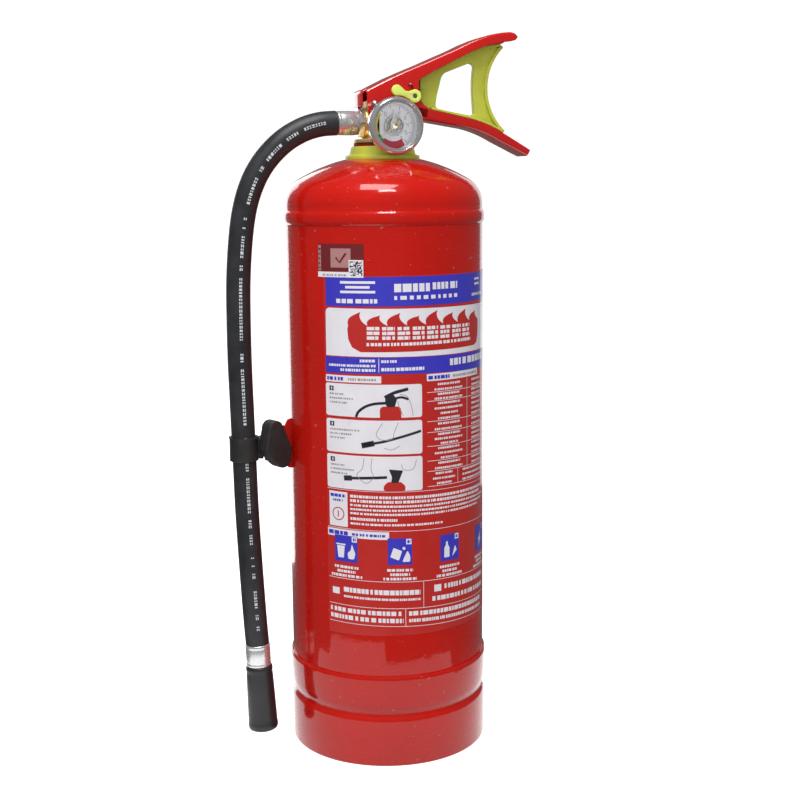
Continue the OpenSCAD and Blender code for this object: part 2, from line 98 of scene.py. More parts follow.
class Nodes:
    """A short way to lay out one material's nodes."""

    def __init__(self, name):
        self.material = bpy.data.materials.new(name)
        self.material.use_nodes = True
        self.tree = self.material.node_tree
        self.shader = self.tree.nodes["Principled BSDF"]
        self.coords = self.add("ShaderNodeTexCoord").outputs["Object"]

    def add(self, kind, inputs=None, **props):
        node = self.tree.nodes.new(kind)
        for key, value in props.items():
            setattr(node, key, value)
        for key, value in (inputs or {}).items():
            self.feed(node.inputs[key], value)
        return node

    def feed(self, socket, value):
        feed(self.tree, socket, value)

    def set(self, **sockets):
        for key, value in sockets.items():
            colour = isinstance(value, tuple) and len(value) == 3
            self.feed(self.shader.inputs[key.replace("_", " ")], (*value, 1) if colour else value)

    def stretched(self, scale):
        return self.add("ShaderNodeMapping", {"Vector": self.coords, "Scale": scale}).outputs["Vector"]

    def noise(self, scale, detail=3.0, rough=0.5, vector=None):
        return self.add("ShaderNodeTexNoise", {"Vector": vector or self.coords, "Scale": scale,
                                               "Detail": detail, "Roughness": rough}).outputs["Fac"]

    def ramp(self, fac, low, high, a=0.0, b=1.0):
        """Maps fac from low..high to a..b."""
        return self.add("ShaderNodeMapRange", {"Value": fac, "From Min": low, "From Max": high,
                                               "To Min": a, "To Max": b}).outputs["Result"]

    def mix(self, fac, a, b):
        node = self.add("ShaderNodeMix", data_type="RGBA")
        self.feed(node.inputs[0], fac)
        self.feed(node.inputs[6], (*a, 1) if isinstance(a, tuple) else a)
        self.feed(node.inputs[7], (*b, 1) if isinstance(b, tuple) else b)
        return node.outputs[2]

    def math(self, operation, a, b=0.0):
        node = self.add("ShaderNodeMath", operation=operation)
        self.feed(node.inputs[0], a)
        self.feed(node.inputs[1], b)
        return node.outputs[0]

    def bump(self, height, distance):
        normal = self.add("ShaderNodeBump", {"Height": height, "Distance": distance}).outputs["Normal"]
        self.set(Normal=normal)
        return normal


def shades(n, colour, spread, scale=40.0):
    """The colour, drifting a little darker and lighter over the surface."""
    dark = tuple(c * (1 - spread) for c in colour)
    light = tuple(min(1, c * (1 + spread)) for c in colour)
    return n.mix(n.ramp(n.noise(scale), 0.3, 0.7), dark, light)


def painted(name, colour, peel=0.35, chips=0.0, coat_ior=1.42):
    """Sprayed gloss paint: orange peel, dust nibs, faint scuffs and chips down to the primer."""
    n = Nodes(name)
    base = shades(n, colour, 0.06, 18)
    scuffs = n.noise(60, 6, 0.7, n.stretched((1, 1, 6)))
    base = n.mix(n.ramp(scuffs, 0.62, 0.8, 0, 0.25), base, tuple(min(1, c * 1.3 + 0.02) for c in colour))
    if chips:
        spots = n.ramp(n.noise(420, 2, 0.4), 0.735, 0.75)
        base = n.mix(n.math("MULTIPLY", spots, chips), base, (0.30, 0.25, 0.23))
    n.set(Base_Color=base, Roughness=n.ramp(scuffs, 0.3, 0.8, 0.2, 0.38), Coat_Weight=1.0, Coat_Roughness=0.04,
          Coat_IOR=coat_ior, Specular_IOR_Level=0.1)
    peel_height = n.noise(210, 2, 0.5)
    nibs = n.ramp(n.noise(700, 1, 0.5), 0.74, 0.80)
    normal = n.bump(n.math("ADD", peel_height, n.math("MULTIPLY", nibs, 0.5)), 0.0001 * peel)
    n.feed(n.shader.inputs["Coat Normal"], normal)
    return n.material


def plastic(name, colour, rough=0.42, spread=0.07, grain=900.0, depth=0.00003):
    """Moulded plastic: fine grain, flow marks and slight polish on the high spots."""
    n = Nodes(name)
    base = shades(n, colour, spread, 55)
    flow = n.noise(35, 5, 0.6, n.stretched((1, 1, 3)))
    n.set(Base_Color=base, Roughness=n.ramp(flow, 0.3, 0.7, rough - 0.08, rough + 0.08),
          Specular_IOR_Level=0.45)
    n.bump(n.math("ADD", n.noise(grain, 2, 0.5), n.math("MULTIPLY", flow, 0.6)), depth)
    return n.material


def metal(name, colour, rough=0.25, scale=90.0, stretch=(1, 1, 1), depth=0.00003, tarnish=(0.3, 0.25, 0.2),
          amount=0.25, metallic=1.0):
    """Bare or plated metal with machining or casting marks and a little tarnish."""
    n = Nodes(name)
    marks = n.noise(scale, 5, 0.65, n.stretched(stretch))
    stain = n.ramp(n.noise(28, 4, 0.6), 0.45, 0.75, 0, amount)
    base = n.mix(stain, n.mix(marks, tuple(c * 0.86 for c in colour), colour), tarnish)
    n.set(Base_Color=base, Metallic=metallic,
          Roughness=n.ramp(marks, 0.25, 0.75, max(0.04, rough - 0.1), rough + 0.1))
    n.bump(marks, depth)
    return n.material


def rubber(name, colour, rough=0.45, grain=1300.0, depth=0.00004, dust=0.25):
    """Black rubber: fine grain and a greyish bloom of dust."""
    n = Nodes(name)
    bloom = n.ramp(n.noise(22, 6, 0.7), 0.42, 0.8, 0, dust)
    base = n.mix(bloom, shades(n, colour, 0.2, 120), tuple(c * 2.2 + 0.03 for c in colour))
    n.set(Base_Color=base, Roughness=n.ramp(n.noise(45, 4), 0.3, 0.7, rough - 0.07, rough + 0.1),
          Specular_IOR_Level=0.5)
    n.bump(n.noise(grain, 3, 0.6), depth)
    return n.material


def printed(name, colour, spread=0.03):
    """Ink under gloss film: halftone grain and tiny rubbed spots."""
    n = Nodes(name)
    rub = n.ramp(n.noise(260, 5, 0.7), 0.70, 0.86, 0, 0.35)
    base = n.mix(rub, shades(n, colour, spread, 90), tuple(0.8 * c + 0.1 for c in colour))
    n.set(Base_Color=base, Roughness=n.ramp(n.noise(80, 4), 0.3, 0.7, 0.26, 0.4), Coat_Weight=0.8,
          Coat_Roughness=0.07)
    normal = n.bump(n.noise(150, 2, 0.5), 0.00003)
    n.feed(n.shader.inputs["Coat Normal"], normal)
    return n.material


def glass(name):
    """Clear glass with faint smears."""
    n = Nodes(name)
    smear = n.noise(40, 5, 0.6)
    n.set(Base_Color=n.mix(smear, (0.97, 0.985, 1.0), (1.0, 1.0, 1.0)),
          Roughness=n.ramp(smear, 0.4, 0.8, 0.01, 0.06), Transmission_Weight=1.0, IOR=1.2)
    n.bump(smear, 0.00001)
    return n.material


M = {
    "red": painted("red_enamel", (0.50, 0.0065, 0.0022), chips=0.5),
    # The neck boss's dark red is a painted reflection: a darker copy of the red enamel standing in for the
    # cylinder's red mirrored in the boss's shiny metal.
    "painted_reflection_red": painted("neck_painted_reflection", (0.22, 0.004, 0.006), peel=0.6),
    "handle": painted("handle_enamel", (0.55, 0.006, 0.004), peel=0.3, chips=0.6, coat_ior=1.8),
    "lime": plastic("lime_plastic", (0.50, 0.53, 0.055), 0.4, 0.08),
    "tab": plastic("pale_lime_plastic", (0.72, 0.83, 0.16), 0.35),
    "brass": metal("cast_brass", (0.95, 0.66, 0.24), 0.36, 140, depth=0.00004, tarnish=(0.50, 0.30, 0.10),
                   amount=0.15, metallic=0.7),
    "steel": metal("zinc_steel", (0.72, 0.72, 0.71), 0.28, 240, (1, 6, 1)),
    "spring": metal("spring_wire", (0.62, 0.63, 0.65), 0.3, 400),
    "chrome": metal("chrome_plate", (0.84, 0.83, 0.83), 0.14, 60, depth=0.00001, amount=0.12, metallic=0.8),
    "ferrule": metal("crimped_aluminium", (0.88, 0.89, 0.90), 0.26, 160, (6, 6, 1), depth=0.000004, amount=0.10,
                     metallic=0.75),
    "hose": rubber("hose_rubber", (0.022, 0.023, 0.026), 0.40),
    "clip": rubber("clip_rubber", (0.02, 0.018, 0.018), 0.55, 900, 0.0001, 0.3),
    "seal": rubber("seal_rubber", (0.02, 0.02, 0.02), 0.5),
    "nozzle": plastic("nozzle_plastic", (0.022, 0.022, 0.025), 0.33, 0.15),
    "tube": plastic("dip_tube_plastic", (0.80, 0.80, 0.76), 0.35),
    "powder": plastic("packed_powder", (0.72, 0.78, 0.86), 0.9, 0.1, 500, 0.0004),
    "lens": glass("gauge_glass"),
    "face": plastic("dial_face", (0.80, 0.81, 0.84), 0.35, 0.03),
    "pointer": metal("pointer_gilt", (0.92, 0.80, 0.50), 0.25, 300),
    "works": metal("gauge_works", (0.72, 0.70, 0.68), 0.3, 300, metallic=0.7),
    "ink_red": printed("label_red", (0.50, 0.009, 0.005)),
    "ink_blue": printed("label_blue", (0.034, 0.030, 0.50)),
    "ink_white": printed("label_white", (0.78, 0.75, 0.80)),
    "ink_black": printed("label_black", (0.018, 0.018, 0.03)),
    "ink_grey": printed("label_grey", (0.30, 0.28, 0.30)),
    "ink_maroon": printed("sticker_maroon", (0.16, 0.008, 0.010)),
    "ink_rose": printed("sticker_ring", (0.42, 0.20, 0.20)),
    "ink_yellow": printed("dial_yellow", (0.78, 0.60, 0.06)),
    "ink_green": printed("dial_green", (0.05, 0.30, 0.10)),
    "ink_dialred": printed("dial_red", (0.50, 0.02, 0.05)),
    "hose_print": plastic("hose_print", (0.62, 0.63, 0.66), 0.5),
}


# ---------- mesh helpers ----------

def finish_object(name, mesh, material, body, replaces=(), angle=35):
    """The mesh as a piece: shaded, in its material, on its body and in place of CAD nodes."""
    bm = bmesh.new()
    bm.from_mesh(mesh)
    bmesh.ops.recalc_face_normals(bm, faces=bm.faces)
    bm.to_mesh(mesh)
    bm.free()
    mesh.name = name
    shade(mesh, material, angle)
    obj = add_object(name, mesh)
    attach(obj, body)
    if replaces:
        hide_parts(*replaces)
    return obj


def shade(mesh, material, angle):
    """Smooth shading, sharp at edges above the angle in degrees, and one material."""
    for polygon in mesh.polygons:
        polygon.use_smooth = True
    mesh.set_sharp_from_angle(angle=math.radians(angle))
    mesh.materials.clear()
    mesh.materials.append(M[material])


def new_mesh(name, points, faces):
    mesh = bpy.data.meshes.new(name)
    mesh.from_pydata([tuple(c * MM for c in p) for p in points], [], faces)
    mesh.validate()
    return mesh


def lathe_mesh(name, profile, segments=128, place=None):
    """Turns a closed profile of (radius, height) points about Z; place then moves it."""
    place = place or Matrix.Identity(4)
    turns = [2 * math.pi * i / segments for i in range(segments)]
    points, rings = [], []
    for r, z in profile:
        start = len(points)
        if r < 1e-6:
            points.append(place @ Vector((0, 0, z)))
        else:
            points += [place @ Vector((r * math.cos(a), r * math.sin(a), z)) for a in turns]
        rings.append(range(start, len(points)))
    faces = []
    for a, b in zip(rings, rings[1:] + rings[:1]):
        for i in range(segments):
            k = (i + 1) % segments
            if len(a) > 1 and len(b) > 1:
                faces.append((a[i], a[k], b[k], b[i]))
            elif len(a) > 1:
                faces.append((a[i], a[k], b[0]))
            elif len(b) > 1:
                faces.append((a[0], b[k], b[i]))
    return new_mesh(name, points, faces)


def rounded(points, radius, steps=4):
    """The closed polygon with its corners rounded off, by at most radius (one, or one for each corner)."""
    out, count = [], len(points)
    for i, corner in enumerate(points):
        r = radius[i] if isinstance(radius, list) else radius
        p, a, b = Vector(corner), Vector(points[i - 1]), Vector(points[(i + 1) % count])
        da, db = a - p, b - p
        if da.length < 1e-6 or db.length < 1e-6 or r <= 0:
            out.append(tuple(p))
            continue
        trim = min(r, da.length * 0.45, db.length * 0.45)
        start, end = p + da.normalized() * trim, p + db.normalized() * trim
        for s in range(steps + 1):
            t = s / steps
            out.append(tuple(start * (1 - t) ** 2 + p * 2 * t * (1 - t) + end * t * t))
    return out


def evaluated(obj):
    """The mesh that an object's modifiers or bevel make; the object itself is removed."""
    bpy.context.view_layer.update()
    mesh = bpy.data.meshes.new_from_object(obj.evaluated_get(bpy.context.evaluated_depsgraph_get()))
    bpy.data.objects.remove(obj)
    return mesh


def plate_mesh(name, outline, y0, y1, bevel=0.4, holes=(), steps=2):
    """A flat plate in the XZ plane between two Y values, with rounded edges and with holes."""
    curve = bpy.data.curves.new(name, "CURVE")
    curve.dimensions, curve.fill_mode = "2D", "BOTH"
    half = (y1 - y0) / 2
    bevel = min(bevel, half * 0.95)
    curve.extrude, curve.bevel_depth = (half - bevel) * MM, bevel * MM
    curve.bevel_resolution, curve.offset = steps, -bevel * MM
    for loop in (outline, *holes):
        spline = curve.splines.new("POLY")
        spline.points.add(len(loop) - 1)
        for point, (x, z) in zip(spline.points, loop):
            point.co = (x * MM, z * MM, 0, 1)
        spline.use_cyclic_u = True
    mesh = evaluated(add_object(name, curve))
    bpy.data.curves.remove(curve)
    mesh.transform(Matrix.Translation((0, (y0 + y1) / 2 * MM, 0)) @ Matrix.Rotation(math.radians(90), 4, "X"))
    return welded(mesh)


def welded(mesh):
    """The mesh with its points joined where they are less than 0.01 mm apart."""
    bm = bmesh.new()
    bm.from_mesh(mesh)
    bmesh.ops.remove_doubles(bm, verts=bm.verts, dist=0.01 * MM)
    bmesh.ops.dissolve_degenerate(bm, edges=bm.edges, dist=0.005 * MM)
    bm.to_mesh(mesh)
    bm.free()
    return mesh


def joined(name, meshes):
    bm = bmesh.new()
    for mesh in meshes:
        bm.from_mesh(mesh)
        bpy.data.meshes.remove(mesh)
    out = bpy.data.meshes.new(name)
    bm.to_mesh(out)
    bm.free()
    return out


def circle(x, z, r, count):
    turns = [2 * math.pi * i / count for i in range(count)]
    return [(x + r * math.cos(a), z + r * math.sin(a)) for a in turns]


def arc(x, z, r, a0, a1, count):
    """An arc between two angles in degrees, as count steps."""
    turns = [math.radians(a0 + (a1 - a0) * i / count) for i in range(count + 1)]
    return [(x + r * math.cos(a), z + r * math.sin(a)) for a in turns]


def skin(name, sections):
    """A closed solid through sections, each a loop of the same number of points."""
    count = len(sections[0])
    points = [p for section in sections for p in section]
    faces = []
    for row in range(0, (len(sections) - 1) * count, count):
        for j in range(count):
            k = (j + 1) % count
            faces.append((row + j, row + k, row + count + k, row + count + j))
    faces.append(tuple(range(count - 1, -1, -1)))
    faces.append(tuple(range(len(points) - count, len(points))))
    return new_mesh(name, points, faces)


def cut(mesh, *tools):
    """The mesh with the tool meshes cut out of it."""
    for tool in tools:
        obj, cutter = add_object("cut_target", mesh), add_object("cut_tool", tool)
        modifier = obj.modifiers.new("cut", "BOOLEAN")
        modifier.operation, modifier.solver, modifier.object = "DIFFERENCE", "EXACT", cutter
        mesh = evaluated(obj)
        bpy.data.objects.remove(cutter)
    return mesh


def smoothed_copy(node, voxel, passes):
    """A node's shape as a casting: its edges softened by remeshing and smoothing."""
    obj = add_object("casting", welded(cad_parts[node].data.copy()))
    remesh = obj.modifiers.new("remesh", "REMESH")
    remesh.mode, remesh.voxel_size = "VOXEL", voxel * MM
    smooth = obj.modifiers.new("smooth", "SMOOTH")
    smooth.iterations, smooth.factor = passes, 0.5
    return evaluated(obj)


# ---------- hose ----------

HOSE_ROUTE = [(-32, 422), (-42, 421.2), (-52, 418.6), (-61, 414.4), (-68, 409.8), (-74.2, 404.4), (-80, 398),
              (-85, 390.8), (-89, 383), (-92.4, 374), (-95, 364), (-97, 352), (-98.8, 335), (-100, 315),
              (-100.4, 290), (-100.4, 265), (-100, 245), (-99.6, 225), (-99.3, 209), (-99, 195), (-98.6, 174),
              (-97.9, 153), (-97, 132), (-96, 111), (-94.9, 90), (-93.84, 73.8)]
HOSE_R = 8.0


def smooth_line(points, per_span):
    """A Catmull-Rom line through points in the XZ plane."""
    pts = [Vector(p) for p in points]
    pts = [pts[0] * 2 - pts[1]] + pts + [pts[-1] * 2 - pts[-2]]
    out = []
    for a, b, c, d in zip(pts, pts[1:], pts[2:], pts[3:]):
        for s in range(per_span):
            t = s / per_span
            out.append(0.5 * (2 * b + (c - a) * t + (2 * a - 5 * b + 4 * c - d) * t * t
                              + (3 * b - 3 * c + d - a) * t ** 3))
    return out + [pts[-2]]


HOSE_LINE = smooth_line(HOSE_ROUTE, 8)


def hose_frames(line):
    """Each point with its direction and its outward side, in the XZ plane."""
    for i, p in enumerate(line):
        d = (line[min(i + 1, len(line) - 1)] - line[max(i - 1, 0)]).normalized()
        yield p, d, Vector((-d[1], d[0]))


def hose_point(p, side, angle, r):
    """A point on the hose's skin: angle 0 on the side, 90 degrees towards -Y."""
    return (p[0] + side[0] * r * math.cos(angle), -r * math.sin(angle), p[1] + side[1] * r * math.cos(angle))


def make_hose():
    count = 40
    sections = [[hose_point(p, side, 2 * math.pi * j / count, HOSE_R) for j in range(count)]
                for p, _, side in hose_frames(HOSE_LINE)]
    return finish_object("hose_tube", skin("hose_tube", sections), "hose", "root", ["hose"])


def make_hose_print():
    """Generic dashes of pale ink along the hose's front, in place of its printing."""
    rng = random.Random(5)
    frames = list(hose_frames(HOSE_LINE))
    along = [0.0]
    for a, b in zip(HOSE_LINE, HOSE_LINE[1:]):
        along.append(along[-1] + (b - a).length)

    def at(s):
        for i in range(len(along) - 1):
            if s <= along[i + 1]:
                t = (s - along[i]) / (along[i + 1] - along[i])
                (p, _, side), (next_p, _, next_side) = frames[i], frames[i + 1]
                return p.lerp(next_p, t), side.lerp(next_side, t).normalized()
        return frames[-1][0], frames[-1][2]

    points, faces, s = [], [], 9.0
    while s < along[-1] - 12:
        length = rng.choice([0.9, 1.2, 1.5, 1.9])
        if rng.random() < 0.16:
            s += 4
            continue
        marks = [(0.0, 1.0)] if rng.random() < 0.4 else [(0.0, 0.4), (0.62, 1.0)]
        for lo, hi in marks:
            a0 = math.radians(98 - 14 * lo)
            a1 = math.radians(98 - 14 * hi)
            start = len(points)
            for t in (s, s + length):
                p, side = at(t)
                points += [hose_point(p, side, a0 + (a1 - a0) * k / 3, HOSE_R + 0.06) for k in range(4)]
            faces += [(start + k, start + k + 1, start + 5 + k, start + 4 + k) for k in range(3)]
        s += length + 0.75
    mesh = new_mesh("hose_marking", points, faces)
    return finish_object("hose_marking", mesh, "hose_print", "root")


GAUGE_Z = 419.2
NOZZLE_PLACE = Matrix.Translation((-93.8, 0, 73.5)) @ Matrix.Rotation(math.radians(177.5), 4, "Y")
PORT_PLACE = Matrix.Translation((0, 0, 422)) @ Matrix.Rotation(math.radians(-90), 4, "Y")
GAUGE_PLACE = Matrix.Translation((0, 0, GAUGE_Z)) @ Matrix.Rotation(math.radians(90), 4, "X")


def crimped(r, z0, z1, grooves):
    """Profile of a ferrule with rolled crimp grooves."""
    inner, groove_r = 4, r - 0.12
    out = [(inner, z0), (r - 0.5, z0), (r, z0 + 0.5)]
    for g in grooves:
        out += [(r, g - 0.9), (groove_r, g - 0.4), (groove_r, g + 0.4), (r, g + 0.9)]
    return out + [(r, z1 - 0.6), (r - 0.6, z1), (inner, z1)]


def make_hose_ends():
    profile = crimped(8.4, 0, 15.6, [2.6, 13.0])
    lower = finish_object("ferrule_lower", lathe_mesh("f", profile, 96, NOZZLE_PLACE), "ferrule", "root",
                          ["hose_ferrule_lower"], 50)
    profile = [(4, 15.6), (8.3, 15.6), (8.9, 16.1), (9.1, 17), (9.1, 18.4), (8.9, 19), (8.95, 21), (9.1, 23),
               (9.5, 38), (9.8, 50), (9.85, 56), (10.1, 56.6), (10.2, 58), (10.05, 59.6), (9.6, 60.6), (8.9, 61),
               (7.6, 61), (7.0, 60.5), (6.8, 59.6), (6.8, 27), (6.3, 26.2), (4, 26)]
    nozzle = finish_object("nozzle_horn", lathe_mesh("n", profile, 96, NOZZLE_PLACE), "nozzle", "root",
                           ["nozzle"], 40)
    profile = crimped(7.9, 18.25, 32, [29.8])
    finish_object("ferrule_upper", lathe_mesh("u", profile, 96, PORT_PLACE), "ferrule", "root",
                  ["hose_ferrule_upper"], 50)
    return lower, nozzle


hose = make_hose()
hose_marks = make_hose_print()
ferrule_lower, nozzle = make_hose_ends()


# ---------- cylinder ----------

BODY_R = 66.5
NECK_HOLE_R = 20.2


def head_profile(r, knuckle, crown):
    """A dome's side from its tangent line at z 369 to the neck's hole."""
    z0 = 369
    crown_z = z0 - math.sqrt((crown - knuckle) ** 2 - (r - knuckle) ** 2)
    touch = math.degrees(math.atan2(z0 - crown_z, r - knuckle))
    side = arc(r - knuckle, z0, knuckle, 0, touch, 14) + arc(0, crown_z, crown, touch, 90, 28)[1:]
    return [p for p in side if p[0] > NECK_HOLE_R]


def make_shell(name, profile, node, angle):
    finish_object(name, lathe_mesh(name, profile, 192), "red", "root", [node], angle)


def make_cylinder():
    seam = [(BODY_R, 356.4), (66.75, 356.9), (67.25, 357.6), (67.6, 358.5), (67.72, 359.8), (67.75, 361),
            (67.72, 362.2), (67.6, 363.5), (67.25, 364.4), (66.75, 365.1), (BODY_R, 365.6)]
    outer = head_profile(BODY_R, 19, 110) + [(NECK_HOLE_R, 399.55)]
    inner = head_profile(BODY_R - 1.5, 17.5, 108.5) + [(NECK_HOLE_R, 398)]
    make_shell("dome_shell", seam + outer + inner[::-1] + [(65, 361), (65, 356.4)], "top_dome", 50)
    tube = [(BODY_R, 50.5), (BODY_R, 200), (BODY_R, 356.3), (65, 356.3), (65, 200), (65, 50.5)]
    make_shell("body_shell", tube, "body_tube", 50)
    # the skirt as (how far inside its lip, z)
    lip = 67.9
    inset = [(0.5, 62.5), (0, 61.9), (0, 59.5), (0.2, 52), (0.6, 43.5), (1.0, 40.2), (1.5, 38.4), (2.2, 37),
             (2.5, 36.2), (2.45, 35.4), (2.0, 34.2), (1.2, 33.1), (0.75, 32), (0.6, 30.5), (0.6, 1.6),
             (0.75, 0.7), (1.2, 0.15), (1.6, 0), (1.9, 0.2), (2, 1), (2, 31), (2.4, 32.6), (3.7, 34.8),
             (3.8, 37.4), (2.6, 39.6), (2.1, 44)]
    skirt = [(66.55, 62.5)] + [(lip - d, z) for d, z in inset] + [(66.55, 50)]
    make_shell("skirt_shell", skirt, "base_skirt", 40)


make_cylinder()


# ---------- label ----------

LABEL_R = 66.66
LAYER = 0.045
LEFT, RIGHT = -62.2, 84.6
PRINT_STEP = 2.5
OFF_GRID = 0.00137  # keeps the cuts through a patch off its corners


class Print:
    """Patches of ink, laid on the cylinder. u runs round it from the gauge's side and z up, in mm."""

    def __init__(self):
        self.inks = {}
        self.lean = 0.0

    def point(self, u, z, layer):
        """A point of the print; below z 300 it sinks towards the right where the print leans."""
        r = LABEL_R + layer * LAYER
        z -= self.lean * max(0.0, 300 - z) * (u + 62) / 126
        return (r * math.sin(u / LABEL_R), -r * math.cos(u / LABEL_R), z)

    def box(self, ink, layer, u0, u1, z0, z1):
        points, faces = self.inks.setdefault(ink, ([], []))
        steps = max(1, math.ceil((u1 - u0) / PRINT_STEP))
        start = len(points)
        for i in range(steps + 1):
            u = u0 + (u1 - u0) * i / steps
            points += [self.point(u, z0, layer), self.point(u, z1, layer)]
        faces += [(k, k + 2, k + 3, k + 1) for k in range(start, start + 2 * steps, 2)]

    def boxes(self, ink, layer, *rows):
        for row in rows:
            self.box(ink, layer, *row)

    def shape(self, ink, layer, outline):
        """Any simple polygon, cut along every 2.5 mm so that it follows the cylinder."""
        points, faces = self.inks.setdefault(ink, ([], []))
        us, zs = zip(*outline)
        verts = [Vector(p) for p in outline]
        edges = [(i, (i + 1) % len(outline)) for i in range(len(outline))]
        u = math.ceil(min(us) / PRINT_STEP) * PRINT_STEP
        while u < max(us):
            edges.append((len(verts), len(verts) + 1))
            verts += [Vector((u + OFF_GRID, min(zs) - 1)), Vector((u + OFF_GRID, max(zs) + 1))]
            u += PRINT_STEP
        found, _, triangles, *_ = delaunay_2d_cdt(verts, edges, [], 0, 1e-5)
        start, used = len(points), {}
        for triangle in triangles:
            mid = sum((found[i] for i in triangle), Vector((0, 0))) / 3
            if inside(mid, outline):
                for i in triangle:
                    if i not in used:
                        used[i] = start + len(used)
                        points.append(self.point(found[i][0], found[i][1], layer))
                faces.append(tuple(used[i] for i in triangle))

    def words(self, ink, layer, u0, u1, z0, h, seed, size, gap):
        """A row of small blocks that stands for a line of print."""
        rng = random.Random(seed)
        u = u0
        while u < u1 - 0.3:
            w = min(size * rng.choice([0.7, 0.9, 1.0, 1.25, 1.6]), u1 - u)
            self.box(ink, layer, u, u + w, z0, z0 + h)
            u += w + gap * (2.2 if rng.random() < 0.2 else 1)

    def lines(self, ink, layer, *rows):
        for row in rows:
            self.words(ink, layer, *row)

    def stroke(self, ink, layer, line, width):
        """A line of some width."""
        pts = [Vector(p) for p in line]
        left, right = [], []
        for i, p in enumerate(pts):
            d = (pts[min(i + 1, len(pts) - 1)] - pts[max(i - 1, 0)]).normalized()
            n = Vector((-d[1], d[0])) * width / 2
            left.append(tuple(p + n))
            right.append(tuple(p - n))
        self.shape(ink, layer, left + right[::-1])


def inside(p, outline):
    hit = False
    for i in range(len(outline)):
        (x1, y1), (x2, y2) = outline[i - 1], outline[i]
        if (y1 > p[1]) != (y2 > p[1]) and p[0] < (x2 - x1) * (p[1] - y1) / (y2 - y1) + x1:
            hit = not hit
    return hit


def flame_row(u0, u1, base, shoulder, tip, count):
    """A panel with rounded lower corners and a row of plain tongues of flame along its top."""
    outline = [(u0 + 8, base), (u1 - 6, base), (u1 - 2, base + 1.5), (u1, base + 6), (u1 + 0.6, shoulder - 3)]
    step = (u1 - u0) / count
    for i in range(count - 1, -1, -1):
        x, high = u0 + i * step, tip - (0.2, 2.4, 1.0, 3.2)[i % 4]
        h = high - shoulder + 1
        top, valley, before = (x + 0.66 * step, high), (x + step, shoulder - 1), (x, shoulder - 1)
        outline += bezier(valley, (x + 0.80 * step, shoulder), (x + 0.46 * step, shoulder + 0.45 * h), top)
        outline += bezier(top, (x + 0.34 * step, shoulder + 0.66 * h), (x - 0.16 * step, shoulder + 0.5 * h),
                          before)[1:]
    outline += [(u0 - 0.6, shoulder - 3), (u0, base + 8), (u0 + 2.5, base + 3)]
    return rounded(outline, 0.5, 2)


def bezier(*corners):
    """Eight points along a cubic curve."""
    a, b, c, d = (Vector(p) for p in corners)
    return [tuple(a * (1 - t) ** 3 + 3 * b * t * (1 - t) ** 2 + 3 * c * t * t * (1 - t) + d * t ** 3)
            for t in (i / 7 for i in range(8))]


